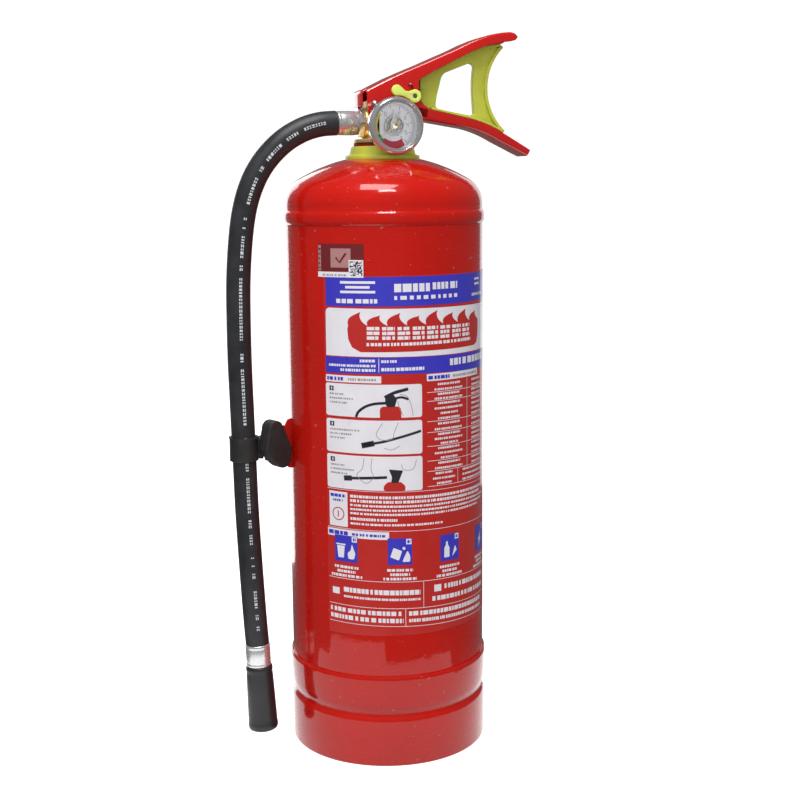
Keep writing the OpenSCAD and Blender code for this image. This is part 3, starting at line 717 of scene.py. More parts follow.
def make_label():
    p = Print()
    # upper blue band with plain bars
    p.box("blue", 1, -60.2, RIGHT, 306.3, 324.9)
    p.boxes("white", 2, (-49.5, -26.5, 320.6, 322.2), (-46.0, -30.0, 317.6, 319.2),
            (-49.5, -26.5, 314.6, 316.2))
    p.lines("white", 2, (-52.4, -24, 308.3, 2.7, 11, 2.4, 0.8), (-14.6, 9, 315.2, 5.2, 12, 3.6, 0.9),
            (11, 31, 316.2, 4.4, 13, 2.6, 0.8), (-14.6, 31, 310.4, 2.4, 14, 2.6, 2.0))
    p.boxes("white", 2, (51.4, 59.6, 316.8, 318.2), (51.4, 59.6, 320.0, 321.4))
    p.words("white", 2, 47.5, 66, 309.8, 1.9, 16, 1.4, 0.6)
    # white panel with the flame box
    p.shape("white", 1, rounded([(-60.6, 274.7), (RIGHT, 273.4), (RIGHT, 303.9), (-60.6, 305.2)],
                                [0.4, 0.1, 0.1, 3.5], 5))
    p.shape("red", 2, flame_row(-44.4, 56.8, 277.4, 295.2, 303.2, 8))
    for i in range(8):
        u = -32.2 + i * 9.75
        for k in range(3):
            p.words("white", 3, u, u + 8.0, 285.4 + k * 3.0 - i * 0.12, 2.1, 300 + 3 * i + k, 3.0, 0.5)
    p.words("white", 3, -32.4, 45.2, 281.3, 2.0, 18, 1.7, 0.5)
    # lower blue band
    p.shape("blue", 1, [(-61.1, 263.6), (-61.1, 274.0), (-20, 274.0), (20, 273.6), (RIGHT, 272.4),
                        (RIGHT, 260.3), (20, 262.6), (-20, 263.6)])
    p.box("white", 2, -25.0, -24.6, 264.6, 273.2)
    p.lines("white", 2, (-37, -26.4, 271.0, 1.7, 21, 1.3, 0.4), (-58.6, -26.4, 267.9, 1.5, 22, 1.3, 0.4),
            (-50.2, -26.4, 265.0, 1.7, 23, 1.3, 0.4), (-23.3, -13, 270.6, 1.7, 24, 1.3, 0.4),
            (-23.3, 5.2, 265.3, 2.1, 25, 1.5, 0.4), (24.3, 66, 266.6, 4.4, 26, 3.0, 0.8))
    # headers
    p.lean = 0.025
    p.box("white", 1, -61.2, -23.4, 257.9, 262.3)
    p.words("blue", 2, -60.2, -48, 258.9, 2.3, 31, 2.0, 0.5)
    p.words("grey", 2, -45, -26, 259.2, 1.5, 32, 1.2, 0.5)
    p.box("white", 1, 6.5, 56.1, 258.3, 262.8)
    p.words("blue", 2, 7.6, 24, 259.3, 2.3, 33, 2.0, 0.5)
    p.words("grey", 2, 27, 54, 259.6, 1.5, 34, 1.2, 0.5)
    # three picture panels
    for i, (low, high) in enumerate(((235.9, 257.0), (212.3, 234.0), (188.6, 210.8))):
        p.shape("white", 1, rounded([(-61.4, low), (3.0, low), (3.0, high), (-61.4, high)], 1.8, 5))
        p.box("black", 2, -58.6, -55.4, high - 4.8, high - 1.8)
        p.box("white", 3, -57.3, -56.5, high - 4.2, high - 2.4)
        ends = (-38, -43, -48) if i == 1 else (-48.5, -42, -46)
        for k, end in enumerate(ends):
            p.words("grey", 2, -58.6, end, high - 7.4 - 2.7 * k, 1.1, 40 + 3 * i + k, 1.0, 0.4)
        draw_steps(p, i, low)
    # table: its rules, then two columns of short rows between them
    rules = (251.1, 245.4, 232.4, 225.4, 216.4, 206.9, 200.2, 190.4)
    for z in rules:
        p.box("white", 1, 6.6, RIGHT, z - 0.16, z + 0.16)
    p.boxes("white", 1, (41.0, 41.35, 200.2, 257.6), (31.0, 31.35, 190.4, 200.2))
    for i, (high, low) in enumerate(zip((257.6, *rules), rules)):
        mid, halves, u0, u1 = (24, (9.5, 12, 7.5), 47, 62) if i < 7 else (19.5, (7, 9, 6), 36, 66)
        count = max(2, round((high - low) / 2.9))
        for k in range(count):
            z, half = high - (k + 0.5) * (high - low) / count - 0.75, halves[k % 3]
            p.words("white", 1, mid - half, mid + half, z, 1.35, 60 + 5 * i + k, 1.1, 0.35)
            p.words("white", 1, u0, u1, z, 1.35, 90 + 5 * i + k, 1.1, 0.35)
    # notes
    p.boxes("white", 1, (-61.6, RIGHT, 187.7, 188.0), (-60.2, -46.8, 163.2, 186.2))
    p.lines("blue", 2, (-59.2, -48.2, 182.6, 2.0, 120, 1.6, 0.4), (-57.4, -50.2, 179.8, 1.4, 121, 1.0, 0.4))
    p.shape("red", 2, circle(-53.5, 171.5, 4.4, 28))
    p.shape("white", 3, circle(-53.5, 171.5, 3.7, 24))
    p.box("red", 4, -53.9, -53.1, 169.4, 173.6)
    notes = ((183.2, 66, 1.75), (180.3, 60, 1.75), (177.6, 66, 1.35), (174.9, 64, 1.35), (172.2, 56, 1.35),
             (168.4, -14, 1.75), (165.4, 18, 1.35))
    for k, (z, end, h) in enumerate(notes):
        p.words("white", 1, -44.9, end, z, h, 130 + k, 1.35, 0.4)
    p.box("white", 1, -61.8, RIGHT, 162.0, 162.3)
    # class squares
    p.box("white", 1, -61.8, -19.5, 156.4, 161.4)
    p.lines("blue", 2, (-61, -46.5, 157.6, 2.6, 141, 2.3, 0.6), (-44, -21.5, 158.0, 1.6, 142, 1.3, 0.5))
    for k, (u0, u1) in enumerate(((-56.5, -40.3), (-20.5, -4.5), (15.9, 31.9), (52.6, 68.6))):
        p.box("blue", 2, u0, u1, 139.8, 157.4)
        p.box("white", 3, u1 - 3.9, u1 - 0.4, 153.4, 157.0)
        p.words("blue", 4, u1 - 3.1, u1 - 1.2, 154.2, 2.0, 150 + k, 1.0, 0.3)
        mid = (u0 + u1) / 2
        draw_class(p, k, mid)
        for j, half in enumerate((8.5, 6.5, 11)):
            p.words("white", 1, mid - half, mid + half, 135.4 - 2.9 * j, 1.7, 160 + 3 * k + j, 1.5, 0.4)
    # address lines
    for z in (128.4, 110.6, 98.6):
        p.box("white", 1, -61.5, RIGHT, z - 0.17, z + 0.17)
    p.boxes("white", 1, (3.1, 3.45, 110.6, 128.4), (-9.3, -8.95, 98.6, 110.6), (-58.8, -53.6, 117.4, 121.8))
    p.lines("white", 1, (-50.4, 1.0, 119.6, 3.2, 181, 2.4, 0.5), (-50.4, 1.0, 115.8, 1.5, 182, 1.1, 0.3))
    p.box("white", 1, 11.0, 16.4, 120.4, 125.0)
    p.lines("white", 1, (19, 66, 121.6, 3.2, 183, 2.4, 0.6), (9.5, 66, 114.4, 3.0, 184, 2.4, 0.6),
            (-60.6, -10.6, 105.7, 2.9, 185, 2.0, 0.7), (-60.6, -10.6, 100.9, 2.9, 186, 2.0, 0.7),
            (-6.9, 62, 105.7, 2.9, 187, 2.2, 0.6), (-6.9, 62, 101.3, 2.2, 188, 1.5, 0.4))
    # film under it all
    p.lean = 0.0
    p.box("red", 0, LEFT, RIGHT, 90.4, 325.6)
    for ink, (points, faces) in p.inks.items():
        mesh = new_mesh(ink, points, faces)
        piece = finish_object("label_" + ink, mesh, "ink_" + ink, "root")
        if ink == "red":
            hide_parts("label_film")


def draw_steps(p, step, low):
    """Plain pictures for the three panels: a small extinguisher, its hose and simple hands."""
    def patch(ink, radius, *points, steps=4):
        p.shape(ink, 2, rounded([(u, low + z) for u, z in points], radius, steps))

    def line(ink, width, *points):
        p.stroke(ink, 2, [(u, low + z) for u, z in points], width)

    def curve(ink, width, *points):
        p.stroke(ink, 2, smooth_line([(u, low + z) for u, z in points], 5), width)

    if step == 0:
        patch("red", [0, 0, 3, 3], (-24.5, 0), (-10.8, 0), (-10.8, 7.2), (-24.5, 7.2), steps=5)
        patch("black", 0.8, (-19.8, 6.8), (-15.0, 6.8), (-13.4, 12), (-16, 15), (-21, 14), (-21, 9))
        curve("black", 1.7, (-40.0, 0), (-38.4, 3.4), (-34, 6.8), (-28, 8.8), (-20.5, 9.4))
        curve("black", 2.0, (-21.4, 13), (-15, 16), (-6.2, 18.2))
        curve("black", 1.5, (-17, 11.5), (-11, 13), (-6, 11.6))
        curve("grey", 0.4, (-3, 1), (-4.4, 8), (-7, 13.4), (-11.6, 15))
        curve("grey", 0.4, (-9.4, 1), (-12, 6.4), (-13, 10.6))
    elif step == 1:
        line("black", 1.6, (-36, 5.5), (-22, 8.2), (2.2, 14.6))
        line("black", 3.6, (-36.6, 5.2), (-28.4, 7.1))
        curve("grey", 0.4, (-23, 20), (-27, 13), (-24, 9.4), (-17, 9.8), (-15.5, 14), (-12.8, 20.4))
        curve("grey", 0.4, (-22, 4), (-17, 3), (-12, 5.4))
    else:
        patch("red", 1.2, (-22.6, 0), (-8.6, 0), (-8.6, 3.2), (-11.4, 5.8), (-19.8, 5.8), (-22.6, 3.2))
        patch("black", 0.8, (-17.8, 5.2), (-13.2, 5.2), (-10.0, 13.2), (-19.2, 14), (-17.2, 9))
        line("black", 1.8, (-46.5, 7.2), (-20.4, 8.8))
        line("black", 3.4, (-49.0, 7.0), (-43.4, 7.4))
        curve("grey", 0.4, (-35, 21), (-36.4, 14), (-40, 9.6), (-34, 4.6), (-29, 8))
        curve("grey", 0.4, (-30, 21), (-30.6, 14), (-29, 9.4))
        curve("grey", 0.4, (-1, 20), (-3.4, 14), (-9.6, 13.6), (-11, 17))


def draw_class(p, kind, mid):
    """Plain symbols: a bin and a flame, a can and drops, a bottle, a spark."""
    base = 141.4

    def patch(radius, *points):
        outline = [(mid + u, base + z) for u, z in points]
        p.shape("white", 3, rounded(outline, radius) if radius else outline)

    if kind == 0:
        patch(0, (-5.6, 1), (-1.6, 1), (-0.8, 9), (-6.4, 9))
        p.box("white", 3, mid - 7, mid - 0.2, base + 9.5, base + 10.4)
        patch(1, (1.6, 0.6), (5.6, 0.6), (6.6, 4.4), (4.2, 10.8), (3.4, 6.4), (1.2, 4.6))
    elif kind == 1:
        patch(0.6, (-6.4, 3.6), (-0.8, 1.4), (1.4, 7.6), (-4.2, 9.8))
        patch(1, (1.4, 0.4), (6.6, 0.4), (6.8, 4), (5, 8), (3.2, 4.6))
        p.shape("white", 3, circle(mid + 2.6, base + 9.4, 1.0, 16))
    elif kind == 2:
        patch(0.6, (-5, 0.8), (-0.6, 0.8), (-0.6, 7), (-2, 9.4), (-2, 11.4), (-3.6, 11.4), (-3.6, 9.4), (-5, 7))
        patch(0.7, (1.6, 0.8), (6, 4.6), (4.4, 8), (3, 4.6))
    else:
        patch(0, (-2.6, 0.6), (3.4, 6.4), (0.6, 6.6), (3, 11.6), (-3.2, 5.6), (-0.4, 5.4))


def make_sticker():
    """The inspection sticker: a maroon patch with a plain plaque, a strip and a block of squares."""
    p = Print()
    p.box("maroon", 2, -66.0, -33.6, 325.4, 345.4)
    p.box("rose", 3, -65.6, -63.4, 328.6, 344.6)
    p.words("maroon", 4, -65.3, -63.7, 330, 1.0, 200, 1.2, 0.3)
    for z in (332.5, 335.5, 338.5, 341.5):
        p.words("maroon", 4, -65.3, -63.7, z, 1.2, int(z), 1.2, 0.3)
    p.box("rose", 3, -56.0, -42.0, 330.6, 342.6)
    p.stroke("maroon", 4, [(-52.2, 336.8), (-49.6, 333.8), (-45.2, 339.6)], 1.4)
    p.box("white", 3, -66.0, -43.2, 324.5, 327.9)
    p.words("grey", 4, -62, -45, 325.3, 1.1, 210, 1.4, 0.5)
    p.box("white", 4, -43.4, -33.8, 324.4, 335.4)
    rng = random.Random(17)
    cells, size, taller = 13, 8.2 / 13, 1.12
    for i in range(cells):
        for j in range(cells):
            if rng.random() < 0.52:
                p.box("black", 5, -42.7 + i * size, -42.7 + (i + 1) * size, 325.4 + j * size * taller,
                      325.4 + (j + 1) * size * taller)
    for ink, (points, faces) in p.inks.items():
        mesh = new_mesh(ink, points, faces)
        piece = finish_object("sticker_" + ink, mesh, "ink_" + ink, "root")
        if ink == "maroon":
            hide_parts("inspection_sticker")


make_label()
make_sticker()


# ---------- neck, valve and gauge ----------

def make_neck():
    profile = [(20.1, 396.2), (24.2, 396.2), (24.55, 396.8), (24.7, 398.4), (24.7, 400), (24.5, 400.7),
               (24.0, 401.1), (22.6, 401.3), (22.1, 401.6), (21.8, 402.6), (21.0, 405.9), (20.75, 406.5),
               (20.5, 406.8), (20.1, 406.8)]
    collar = lathe_mesh("collar", profile)
    finish_object("collar_ring", collar, "lime", "root", ["neck_collar"], 40)
    profile = [(7.0, 7.00), (9.2, 7.40), (9.9, 8.40), (9.9, 13.70), (9.4, 14.25), (7.0, 14.25)]
    shoulder = lathe_mesh("shoulder", profile, 64, PORT_PLACE)
    casting = joined("casting", [smoothed_copy("valve_body", 0.55, 5), shoulder])
    finish_object("valve_casting", casting, "brass", "root", ["valve_body"], 80)
    make_stem_spring()


def make_stem_spring():
    """The return spring inside the valve."""
    low, high = (corner[2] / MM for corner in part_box("stem_spring"))
    wire, coil, travel = 0.6, 4.2, 3.2
    steps = 5 * 24
    rings = []
    for i in range(steps + 1):
        a = math.radians(15 * i)
        z = low + wire + (high - low - 2 * wire) * i / steps
        rings.append([(r * math.cos(a), r * math.sin(a), h) for r, h in arc(coil, z, wire, 0, 324, 9)])
    mesh = welded(skin("coil", rings))
    spring = finish_object("return_spring", mesh, "spring", "root", ["stem_spring"], 60)
    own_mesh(spring)


DIAL_TOP = 23.6
INK = 0.06


def flat(outline, depth, thick):
    """A thin plate facing -Y at a depth from the axis; its outline is in mm round the gauge's centre."""
    mesh = bpy.data.meshes.new("flat")
    bm = bmesh.new()
    front, back = ([bm.verts.new((x * MM, -y * MM, (z + GAUGE_Z) * MM)) for x, z in outline]
                   for y in (depth + thick, depth))
    bm.faces.new(front)
    bm.faces.new(back[::-1])
    for i in range(len(outline)):
        k = (i + 1) % len(outline)
        bm.faces.new((front[i], back[i], back[k], front[k]))
    bmesh.ops.triangulate(bm, faces=bm.faces)
    bm.to_mesh(mesh)
    bm.free()
    return mesh


def sector(r0, r1, a0, a1, depth=DIAL_TOP, thick=INK):
    count = max(3, int(abs(a1 - a0) / 4))
    return flat(arc(0, 0, r1, a0, a1, count) + arc(0, 0, r0, a1, a0, count), depth, thick)


def spoke(degrees, *corners):
    """Corners given as (distance out, distance aside) along a radius of the dial."""
    a = math.radians(degrees)
    d, n = Vector((math.cos(a), math.sin(a))), Vector((-math.sin(a), math.cos(a)))
    return [tuple(d * r + n * w) for r, w in corners]


def turned(name, profile, material, node):
    """A part turned about the gauge's axis, as (radius, distance forward from the cylinder's axis)."""
    finish_object(name, lathe_mesh(name, profile, 128, GAUGE_PLACE), material, "root", [node], 50)


def make_gauge():
    turned("bezel_ring", [(14.7, 30.95), (14.5, 31.3), (14.6, 31.9), (15.0, 32.1), (15.4, 31.9), (15.7, 31.9),
                          (16.2, 32.6), (16.9, 32.5), (17.3, 32.1), (17.6, 31.7), (18.0, 31.2), (18.3, 30.4),
                          (18.35, 29.4), (18.3, 28.6), (18.0, 27.8), (17.6, 27.5), (17.5, 28.2), (17.4, 30.95)],
           "chrome", "gauge_bezel")
    turned("gauge_shell", [(0, 20.2), (11.4, 20.2), (12.2, 20.8), (12.4, 21.9), (13.2, 22.4), (16.6, 22.6),
                           (17.3, 23.0), (17.6, 23.8), (17.6, 29.6), (16.7, 29.6), (16.7, 23.2), (11.3, 23.1),
                           (11.3, 21.2), (0, 21.2)], "chrome", "gauge_case")
    turned("gauge_window", [(0, 31.0), (6, 30.95), (12, 30.8), (17.2, 30.4), (17.2, 29.65), (0, 29.65)],
           "lens", "gauge_lens")
    turned("dial_plate", [(1.2, 23.2), (16.6, 23.2), (16.6, DIAL_TOP), (1.2, DIAL_TOP)],
           "face", "gauge_dial")
    finish_object("dial_yellow_zone", sector(10.9, 13.4, 137, 208), "ink_yellow", "root")
    finish_object("dial_green_zone", sector(10.5, 14.0, 208, 231), "ink_green", "root")
    finish_object("dial_red_zone", sector(9.6, 14.4, 231, 303), "ink_dialred", "root")
    marks = []
    for i in range(31):
        r0, r1, w = (11.2, 13.8, 0.22) if i % 5 == 0 else (12.6, 13.8, 0.13)
        marks.append(flat(spoke(130 - 6 * i, (r0, w), (r0, -w), (r1, -w), (r1, w)), DIAL_TOP, INK))
    for i in range(7):
        a = math.radians(125 - 30 * i)
        marks += digit(str(i), 9.4 * math.cos(a), 9.4 * math.sin(a), 2.1)
    marks += [sector(14.0, 14.2, a, a + 10) for a in range(0, 360, 10)]
    finish_object("dial_marks", joined("marks", marks), "ink_grey", "root")
    make_works()
    mesh = flat(spoke(217.6, (-4.5, 1.0), (0, 0.95), (6, 0.5), (13.1, 0.12), (13.1, -0.12), (6, -0.5),
                      (0, -0.95), (-4.5, -1.0)), 26.5, 0.35)
    cap = [(0, 21.7), (0.6, 21.7), (0.6, 26.4), (1.5, 26.4), (1.5, 26.9), (1.0, 27.2), (0, 27.3)]
    pointer = joined("pointer", [mesh, lathe_mesh("cap", cap, 40, GAUGE_PLACE)])
    finish_object("pointer_hand", pointer, "pointer", "needle", ["gauge_needle"], 40)


def make_works():
    """The spiral, plate, hub and ring inside the gauge."""
    parts, strip = [], 0.35
    for i in range(60):
        ends = ((i, 0), (i, strip), (i + 1, strip), (i + 1, 0))
        corners = [(2.0 + 3.4 * k / 60 + w, 15.6 * k) for k, w in ends]
        parts.append(flat([(r * math.cos(math.radians(a)), r * math.sin(math.radians(a))) for r, a in corners],
                          23.7, 1.7))
    plate = [(-3.4, -1.2), (3.4, -1.2), (2.4, 1.6), (0.6, 7.8), (-0.6, 7.8), (-2.8, 1.8)]
    parts.append(flat(rounded(plate, 0.8, 3), 25.5, 0.5))
    hub = [(0, DIAL_TOP), (2.1, DIAL_TOP), (2.1, 26.1), (1.6, 26.3), (0, 26.3)]
    parts.append(lathe_mesh("hub", hub, 40, GAUGE_PLACE))
    parts += [sector(5.7, 6.5, a, a + 12, 24.2, 1.4) for a in range(0, 360, 12)]
    finish_object("gauge_works", joined("works", parts), "works", "root", ["bourdon_coil"], 30)


SEGMENTS = {"a": ((0, 1), (1, 1)), "b": ((1, 1), (1, 0.5)), "c": ((1, 0.5), (1, 0)), "d": ((0, 0), (1, 0)),
            "e": ((0, 0), (0, 0.5)), "f": ((0, 0.5), (0, 1)), "g": ((0, 0.5), (1, 0.5))}
DIGITS = {"0": "abcdef", "1": "bc", "2": "abged", "3": "abgcd", "4": "fgbc", "5": "afgcd", "6": "afgedc"}


def digit(text, x, y, size):
    """A numeral made of straight strokes."""
    out, w, h, t = [], size * 0.55, size, size * 0.07
    for s in DIGITS[text]:
        us, vs = zip(*SEGMENTS[s])
        x0, x1 = x + (min(us) - 0.5) * w - t, x + (max(us) - 0.5) * w + t
        y0, y1 = y + (min(vs) - 0.5) * h - t, y + (max(vs) - 0.5) * h + t
        out.append(flat([(x0, y0), (x1, y0), (x1, y1), (x0, y1)], DIAL_TOP, INK))
    return out


make_neck()
make_gauge()


# ---------- handles ----------

PIVOT = (-8.2, 433.1)
PIN = (18.3, 439.0)
RIVET = (11.0, 425.0)
LEVER_HALF, GRIP_HALF, SHEET = 11.8, 10.0, 1.4

LEVER_TOP = [(-13.8, 443.0), (-5, 447.4), (3.3, 451.4), (14, 455.9), (25.5, 460.5), (36, 465.0), (48, 470.0),
             (57, 474.2), (65.1, 477.4), (71, 479.3), (76.6, 480.6), (82, 481.5), (87, 482.0), (89.6, 481.9),
             (91.6, 481.1), (93.0, 479.8)]
LEVER_LOW = [(-13.8, 436.5), (-13.7, 434.1), (-13.2, 431.5), (-12.2, 429.4), (-10.4, 427.95), (-8.2, 427.5),
             (-6.0, 427.95), (-4.2, 429.2), (-1.8, 431.3), (1, 433.3), (3, 433.9), (13, 434.9), (20.2, 435.7),
             (21.2, 436.0), (21.7, 436.9), (21.8, 438.0), (21.82, 447.6), (22.0, 448.9), (22.8, 450.1),
             (25.5, 451.6), (31, 454.6), (45, 461.5), (59.4, 468.5), (71, 472.9), (82.4, 475.1), (88.4, 475.9),
             (91.2, 476.8), (93.0, 478.5)]


def interpolate(table, x):
    for (x0, z0), (x1, z1) in zip(table, table[1:]):
        if x <= x1:
            return z0 + (z1 - z0) * (x - x0) / max(x1 - x0, 1e-9)
    return table[-1][1]


def channel(y, top, low, r_outer, t, up):
    """Section of a folded sheet channel: web at the top (up 1) or at the bottom (up -1)."""
    depth = abs(top - low)
    r = min(r_outer, depth * 0.8)
    ri = max(r - t, 0.25)
    foot = min(0.3, depth * 0.2)
    web, lip = (top, low) if up > 0 else (low, top)
    yi, wi = y - t, web - up * min(t, depth - 0.15)
    out = [(-y, lip + up * foot), (-y, web - up * r)]
    for a in (math.radians(d) for d in (18, 36, 54, 72, 90)):
        out.append((-y + r - r * math.cos(a), web - up * (r - r * math.sin(a))))
    inner = [(yi, lip + up * foot), (yi, wi - up * ri)]
    if up * (wi - up * ri - lip - up * foot) < 0:
        inner[1] = (yi, lip + up * foot * 1.01)
    for a in (math.radians(d) for d in (30, 60, 90)):
        inner.append((yi - ri + ri * math.cos(a), wi - up * (ri - ri * math.sin(a))))
    feet = [(y - 0.25, lip), (y - t + 0.25, lip)]
    return out + mirrored(out) + feet + inner + mirrored(inner) + mirrored(feet)


def mirrored(points):
    return [(-y, z) for y, z in reversed(points)]


def make_lever():
    xs = {x for x, _ in LEVER_LOW} | {-12.8 + 2.5 * i for i in range(41)}
    xs |= {-13.5, 21.81, 90.8, 91.8, 92.4, 92.8}
    sections = []
    for x in sorted(xs):
        half = LEVER_HALF - 0.12 * max(0, x - 89.5) ** 2
        loop = channel(half, interpolate(LEVER_TOP, x), interpolate(LEVER_LOW, x), 2.2, SHEET, 1)
        sections.append([(x, y, z) for y, z in loop])
    shell = welded(skin("lever", sections))
    dx, dz = PIN[0] - PIVOT[0], PIN[1] - PIVOT[1]
    arm, start = math.hypot(dx, dz), math.degrees(math.atan2(dz, dx))
    a0, a1 = start - 3.6, start + 17.8
    slot = rounded(arc(*PIVOT, arm + 1.6, a0, a1, 8) + arc(*PIVOT, arm - 1.6, a1, a0, 8), 1.4, 5)
    shell = cut(shell, plate_mesh("hole", circle(*PIVOT, 2.55, 40), -20, 20, 0.01),
                plate_mesh("slot", slot, -20, 20, 0.01))
    wall = rounded([(-17.6, 440.6), (-17.2, 432.4), (-15.8, 432.4), (-16.2, 440.0), (-15.2, 441.2),
                    (-12.2, 442.6), (-12.8, 443.9), (-16.4, 442.3)], [2, 0.4, 0.4, 1.2, 1.2, 0.2, 0.2, 2], 4)
    lever = joined("lever", [shell, plate_mesh("rear", wall, -GRIP_HALF, GRIP_HALF, 0.45)])
    finish_object("lever_pressing", lever, "handle", "lever", ["lever"], 38)


def grip_path():
    """Top edge of the grip as (x, z, slope in degrees, depth): a straight, a bend and a straight to the tip."""
    slope, end_slope = -11.6, -29.4
    start, bend_x, tip_x, bend_r, depth = (26, 431.6), 58, 103.2, 85, 6.2
    fall, a = math.tan(math.radians(slope)), math.radians(slope)
    centre = (bend_x + bend_r * math.sin(a), start[1] + (bend_x - start[0]) * fall - bend_r * math.cos(a))
    out = [(x, start[1] + (x - start[0]) * fall, slope, depth + max(0, bend_x - x) * 0.045)
           for x in (17, *range(20, 57, 4))]
    for i in range(9):
        degrees = slope + (end_slope - slope) * i / 8
        a = math.radians(degrees)
        out.append((centre[0] - bend_r * math.sin(a), centre[1] + bend_r * math.cos(a), degrees, depth))
    x0, z0 = out[-1][:2]
    for i in range(1, 6):
        x = x0 + (tip_x - x0) * i / 5
        out.append((x, z0 + (x - x0) * math.tan(math.radians(end_slope)), end_slope, depth - 1.6 * i / 5))
    return out


def make_carry_handle():
    path = grip_path()
    sections = []
    for x, z, slope, depth in path:
        a = math.radians(slope)
        n = Vector((math.sin(a), -math.cos(a)))
        half = GRIP_HALF - (0.5 if x == path[-1][0] else 0)
        sections.append([(x - n[0] * d, y, z - n[1] * d) for y, d in channel(half, 0, -depth, 2.0, SHEET, -1)])
    grip = welded(skin("grip", sections))
    holes = [circle(*PIVOT, 2.5, 32), circle(*RIVET, 2.0, 32), circle(*PIN, 1.55, 24)]
    outline = rounded([(-12.7, 427.4), (-12.7, 433), (-10.6, 440), (-6, 441.6), (16.0, 447.2), (19.4, 446.0),
                       (21.4, 440), (21.9, 437.4), (24.4, 434.7), (29.0, 431.6), (28.5, 424.0), (16, 425.4),
                       (15, 421), (8.6, 421.6), (8.2, 427)], [1, 1, 2, 1, 1, 1, 1, 2, 1, 0, 0, 1.5, 1, 1, 1], 3)
    inner = GRIP_HALF - SHEET
    sides = ((inner, GRIP_HALF), (-GRIP_HALF, -inner))
    ears = [plate_mesh("ear", outline, y0, y1, 0.25, holes) for y0, y1 in sides]
    carry = joined("carry", [grip, *ears])
    finish_object("carry_pressing", carry, "handle", "root", ["carry_handle"], 38)


def grip_edge(lift):
    """The grip's top edge, lifted off it by some mm."""
    return [(x - lift * math.sin(math.radians(s)), z + lift * math.cos(math.radians(s)))
            for x, z, s, _ in grip_path() if 31 < x < 86]


def make_insert():
    """A thin web with a window, a raised border all round it and a lip along the grip."""
    window = rounded([(41.2, 452), (43.2, 454.9), (62, 462), (64.8, 460.4), (63.7, 450), (63.9, 441),
                      (64.9, 428.4), (63.2, 427.2), (38.9, 431.5), (37.0, 433), (37.7, 439)],
                     [1, 2, 2, 2, 6, 6, 1.5, 1.5, 1.5, 1.5, 4], 5)
    bow = (110.9, 445.4)
    outer, outer_in = arc(*bow, 37.1, 133.5, 229, 24), arc(*bow, 39.3, 229, 133.5, 24)
    lip_low, lip_high = grip_edge(0.3), grip_edge(1.8)
    body = ([(25.4, 451), (25.6, 444), (26.6, 436.6), (29, 433.6), (31.6, 431.9)] + lip_high + outer[::-1] +
            [(71, 473.2), (59.4, 468.9), (45, 462.0), (31, 455.0)])
    top = [(83.6, 475.0), (71, 473.2), (59.4, 468.9), (45, 462.0), (31, 455.0), (25.4, 451), (25.6, 444)]
    top_in = [(28.0, 444.2), (27.6, 449.8), (32, 452.8), (46, 459.8), (60.2, 466.5), (71.8, 470.8),
              (83.0, 473.0)]
    lip = [(31.6, 430.9)] + lip_low + lip_high[::-1] + [(31.6, 432.3)]
    parts = [plate_mesh("web", body, -2.4, 2.4, 0.4, [window]),
             plate_mesh("rim", outer + outer_in, -4.4, 4.4, 0.6),
             plate_mesh("border", top + top_in, -4.2, 4.2, 0.5),
             plate_mesh("lip", lip, -9.4, 9.4, 0.35)]
    insert = joined("insert", parts)
    finish_object("insert_moulding", insert, "lime", "insert", ["safety_insert"], 40)


def make_tab():
    outline = (arc(*PIN, 4.4, -150, 95, 14) + [(14.2, 441.9), (11.4, 442.4), (9.6, 444.2)]
               + arc(6, 442.6, 3.6, 50, 290, 14) + [(11.0, 438.6), (12.9, 437.4)])
    tab = plate_mesh("tab", rounded(outline, 0.6, 2), -14.6, -12.2, 0.7, [circle(*PIN, 1.5, 24)], 3)
    finish_object("pull_tab", tab, "tab", "pin", ["pin_tab"], 40)


make_lever()
make_carry_handle()
make_insert()
make_tab()


# ---------- hose clip ----------

def make_clip():
    profile = [(8.1, 0), (9.3, 0), (9.7, 0.5), (9.5, 1.2), (9.5, 14.8), (9.9, 15.3), (9.8, 16), (8.1, 16)]
    ring = lathe_mesh("ring", profile, 72, Matrix.Translation((-99.3, 0, 201.5)))
    outline = rounded([(-93.6, 203), (-86.8, 201.9), (-86.8, 217.1), (-93.6, 216)], 1.2, 4)
    strap = joined("strap", [ring, plate_mesh("lug", outline, -4, 4, 1.0)])
    finish_object("clip_strap", strap, "clip", "root", ["hose_clip_strap"], 40)
    pad = smoothed_copy("hose_clip_pad", 0.6, 6)
    finish_object("clip_pad", pad, "clip", "root", ["hose_clip_pad"], 70)


make_clip()


# ---------- CAD nodes that stay ----------

KEPT = {"bottom_head": "red", "neck_boss": "painted_reflection_red", "neck_gasket": "seal", "stem_gland": "brass",
        "stem_o_ring": "seal", "valve_stem": "steel", "stem_seal": "seal", "spring_retainer": "brass",
        "siphon_tube": "tube", "powder_charge": "powder", "handle_rivet": "steel", "lever_pivot_rivet": "steel",
        "safety_pin": "steel", "gauge_stem": "brass", "gauge_seal": "seal", "hose_nut": "chrome",
        "hose_tail": "brass", "nozzle_insert": "brass", "clip_bracket": "red"}
for node, material in KEPT.items():
    shade(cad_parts[node].data, material, 40)


# ---------- floor and light ----------

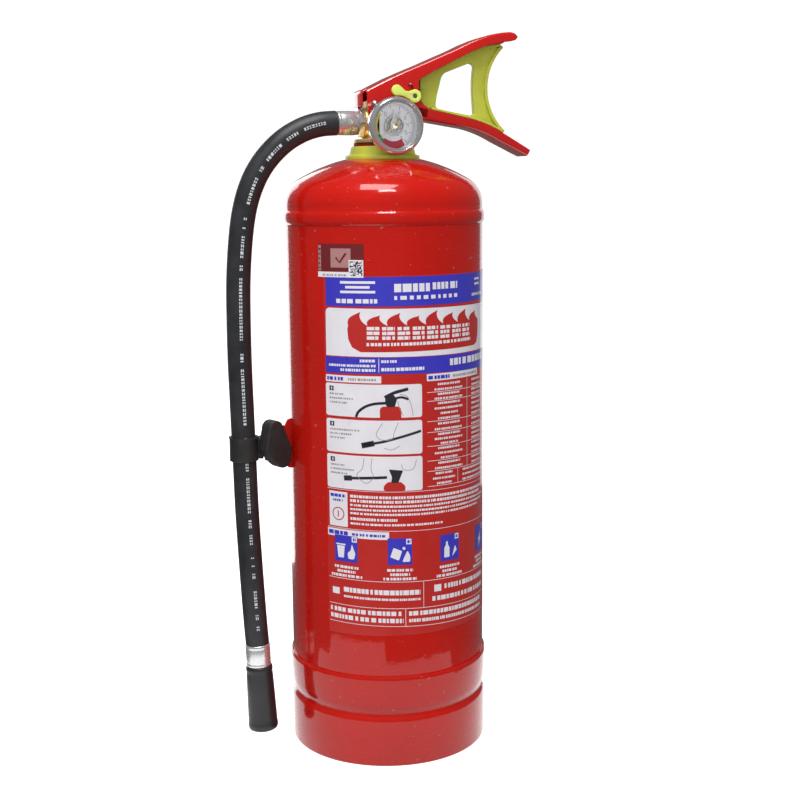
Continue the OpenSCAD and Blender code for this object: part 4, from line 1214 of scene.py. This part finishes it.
def make_floor():
    """The white floor, and a card under the cylinder that only mirrors show."""
    n = Nodes("pale_floor")
    n.set(Base_Color=n.mix(n.noise(3, 2), (0.86, 0.86, 0.86), (0.88, 0.88, 0.88)), Roughness=0.9,
          Specular_IOR_Level=0.0, Emission_Color=(1.0, 1.0, 1.0), Emission_Strength=0.8)
    # the card reaches further on the camera's side; one radius in mm for every two degrees
    reach = [310 if 4 <= a <= 64 else 262 if a <= 80 or a >= 290 else 200 for a in range(0, 360, 2)]
    turns = [math.radians(-2 * i + VIEW_AZIMUTH) for i in range(len(reach))]
    rim = [(r * math.sin(a) * MM, -r * math.cos(a) * MM, -MM) for r, a in zip(reach, turns)]
    floor, card = (add_object(name, bpy.data.meshes.new(name)) for name in ("floor", "floor_reflection"))
    for obj, corners in ((floor, [(-40, -40, 0), (40, -40, 0), (40, 40, 0), (-40, 40, 0)]), (card, rim)):
        obj.data.from_pydata(corners, [], [tuple(range(len(corners)))])
        obj.data.materials.append(n.material)
    floor.visible_glossy = floor.visible_diffuse = False
    card.visible_camera = card.visible_diffuse = card.visible_shadow = False


def softbox(name, azimuth, elevation, distance, width, height, radiance):
    """An area light that faces the cylinder's middle; azimuth 0 is on the camera's side."""
    data = bpy.data.lights.new(name, "AREA")
    data.shape, data.size, data.size_y = "RECTANGLE", width, height
    data.energy = radiance * math.pi * width * height
    light = add_object(name, data)
    a, e = math.radians(azimuth + VIEW_AZIMUTH), math.radians(elevation)
    back = Vector((math.sin(a) * math.cos(e), -math.cos(a) * math.cos(e), math.sin(e)))
    light.location = Vector((0, 0, 0.25)) + back * distance
    light.rotation_mode = "QUATERNION"
    light.rotation_quaternion = back.to_track_quat("Z", "Y")
    light.visible_camera = False
    return light


def make_light():
    """Softboxes, and a world of strength 0.5 that is 0.6 brighter to the camera and 0.37 darker in mirrors."""
    make_floor()
    softbox("front_left_panel", -14, 14, 2.0, 3.4, 2.4, 0.82).visible_glossy = False
    softbox("overhead_panel", -14, 74, 1.9, 0.85, 0.8, 9.0)
    softbox("dome_highlight", 6, 58, 1.7, 0.42, 0.22, 22.0)
    softbox("left_rim", -155, 4, 1.7, 0.8, 1.5, 2.2)
    softbox("right_rim", 158, 4, 1.9, 0.7, 1.3, 0.9)
    world = bpy.data.worlds.new("studio")
    SCENE.world = world
    world.use_nodes = True
    tree = world.node_tree
    path = tree.nodes.new("ShaderNodeLightPath")
    strength = 0.5
    for ray, change in (("Is Camera Ray", 0.6), ("Is Glossy Ray", -0.37)):
        node = tree.nodes.new("ShaderNodeMath")
        node.operation = "MULTIPLY_ADD"
        for socket, value in zip(node.inputs, (path.outputs[ray], change, strength)):
            feed(tree, socket, value)
        strength = node.outputs[0]
    background = tree.nodes["Background"]
    background.inputs["Color"].default_value = (1, 1, 1, 1)
    feed(tree, background.inputs["Strength"], strength)


make_light()
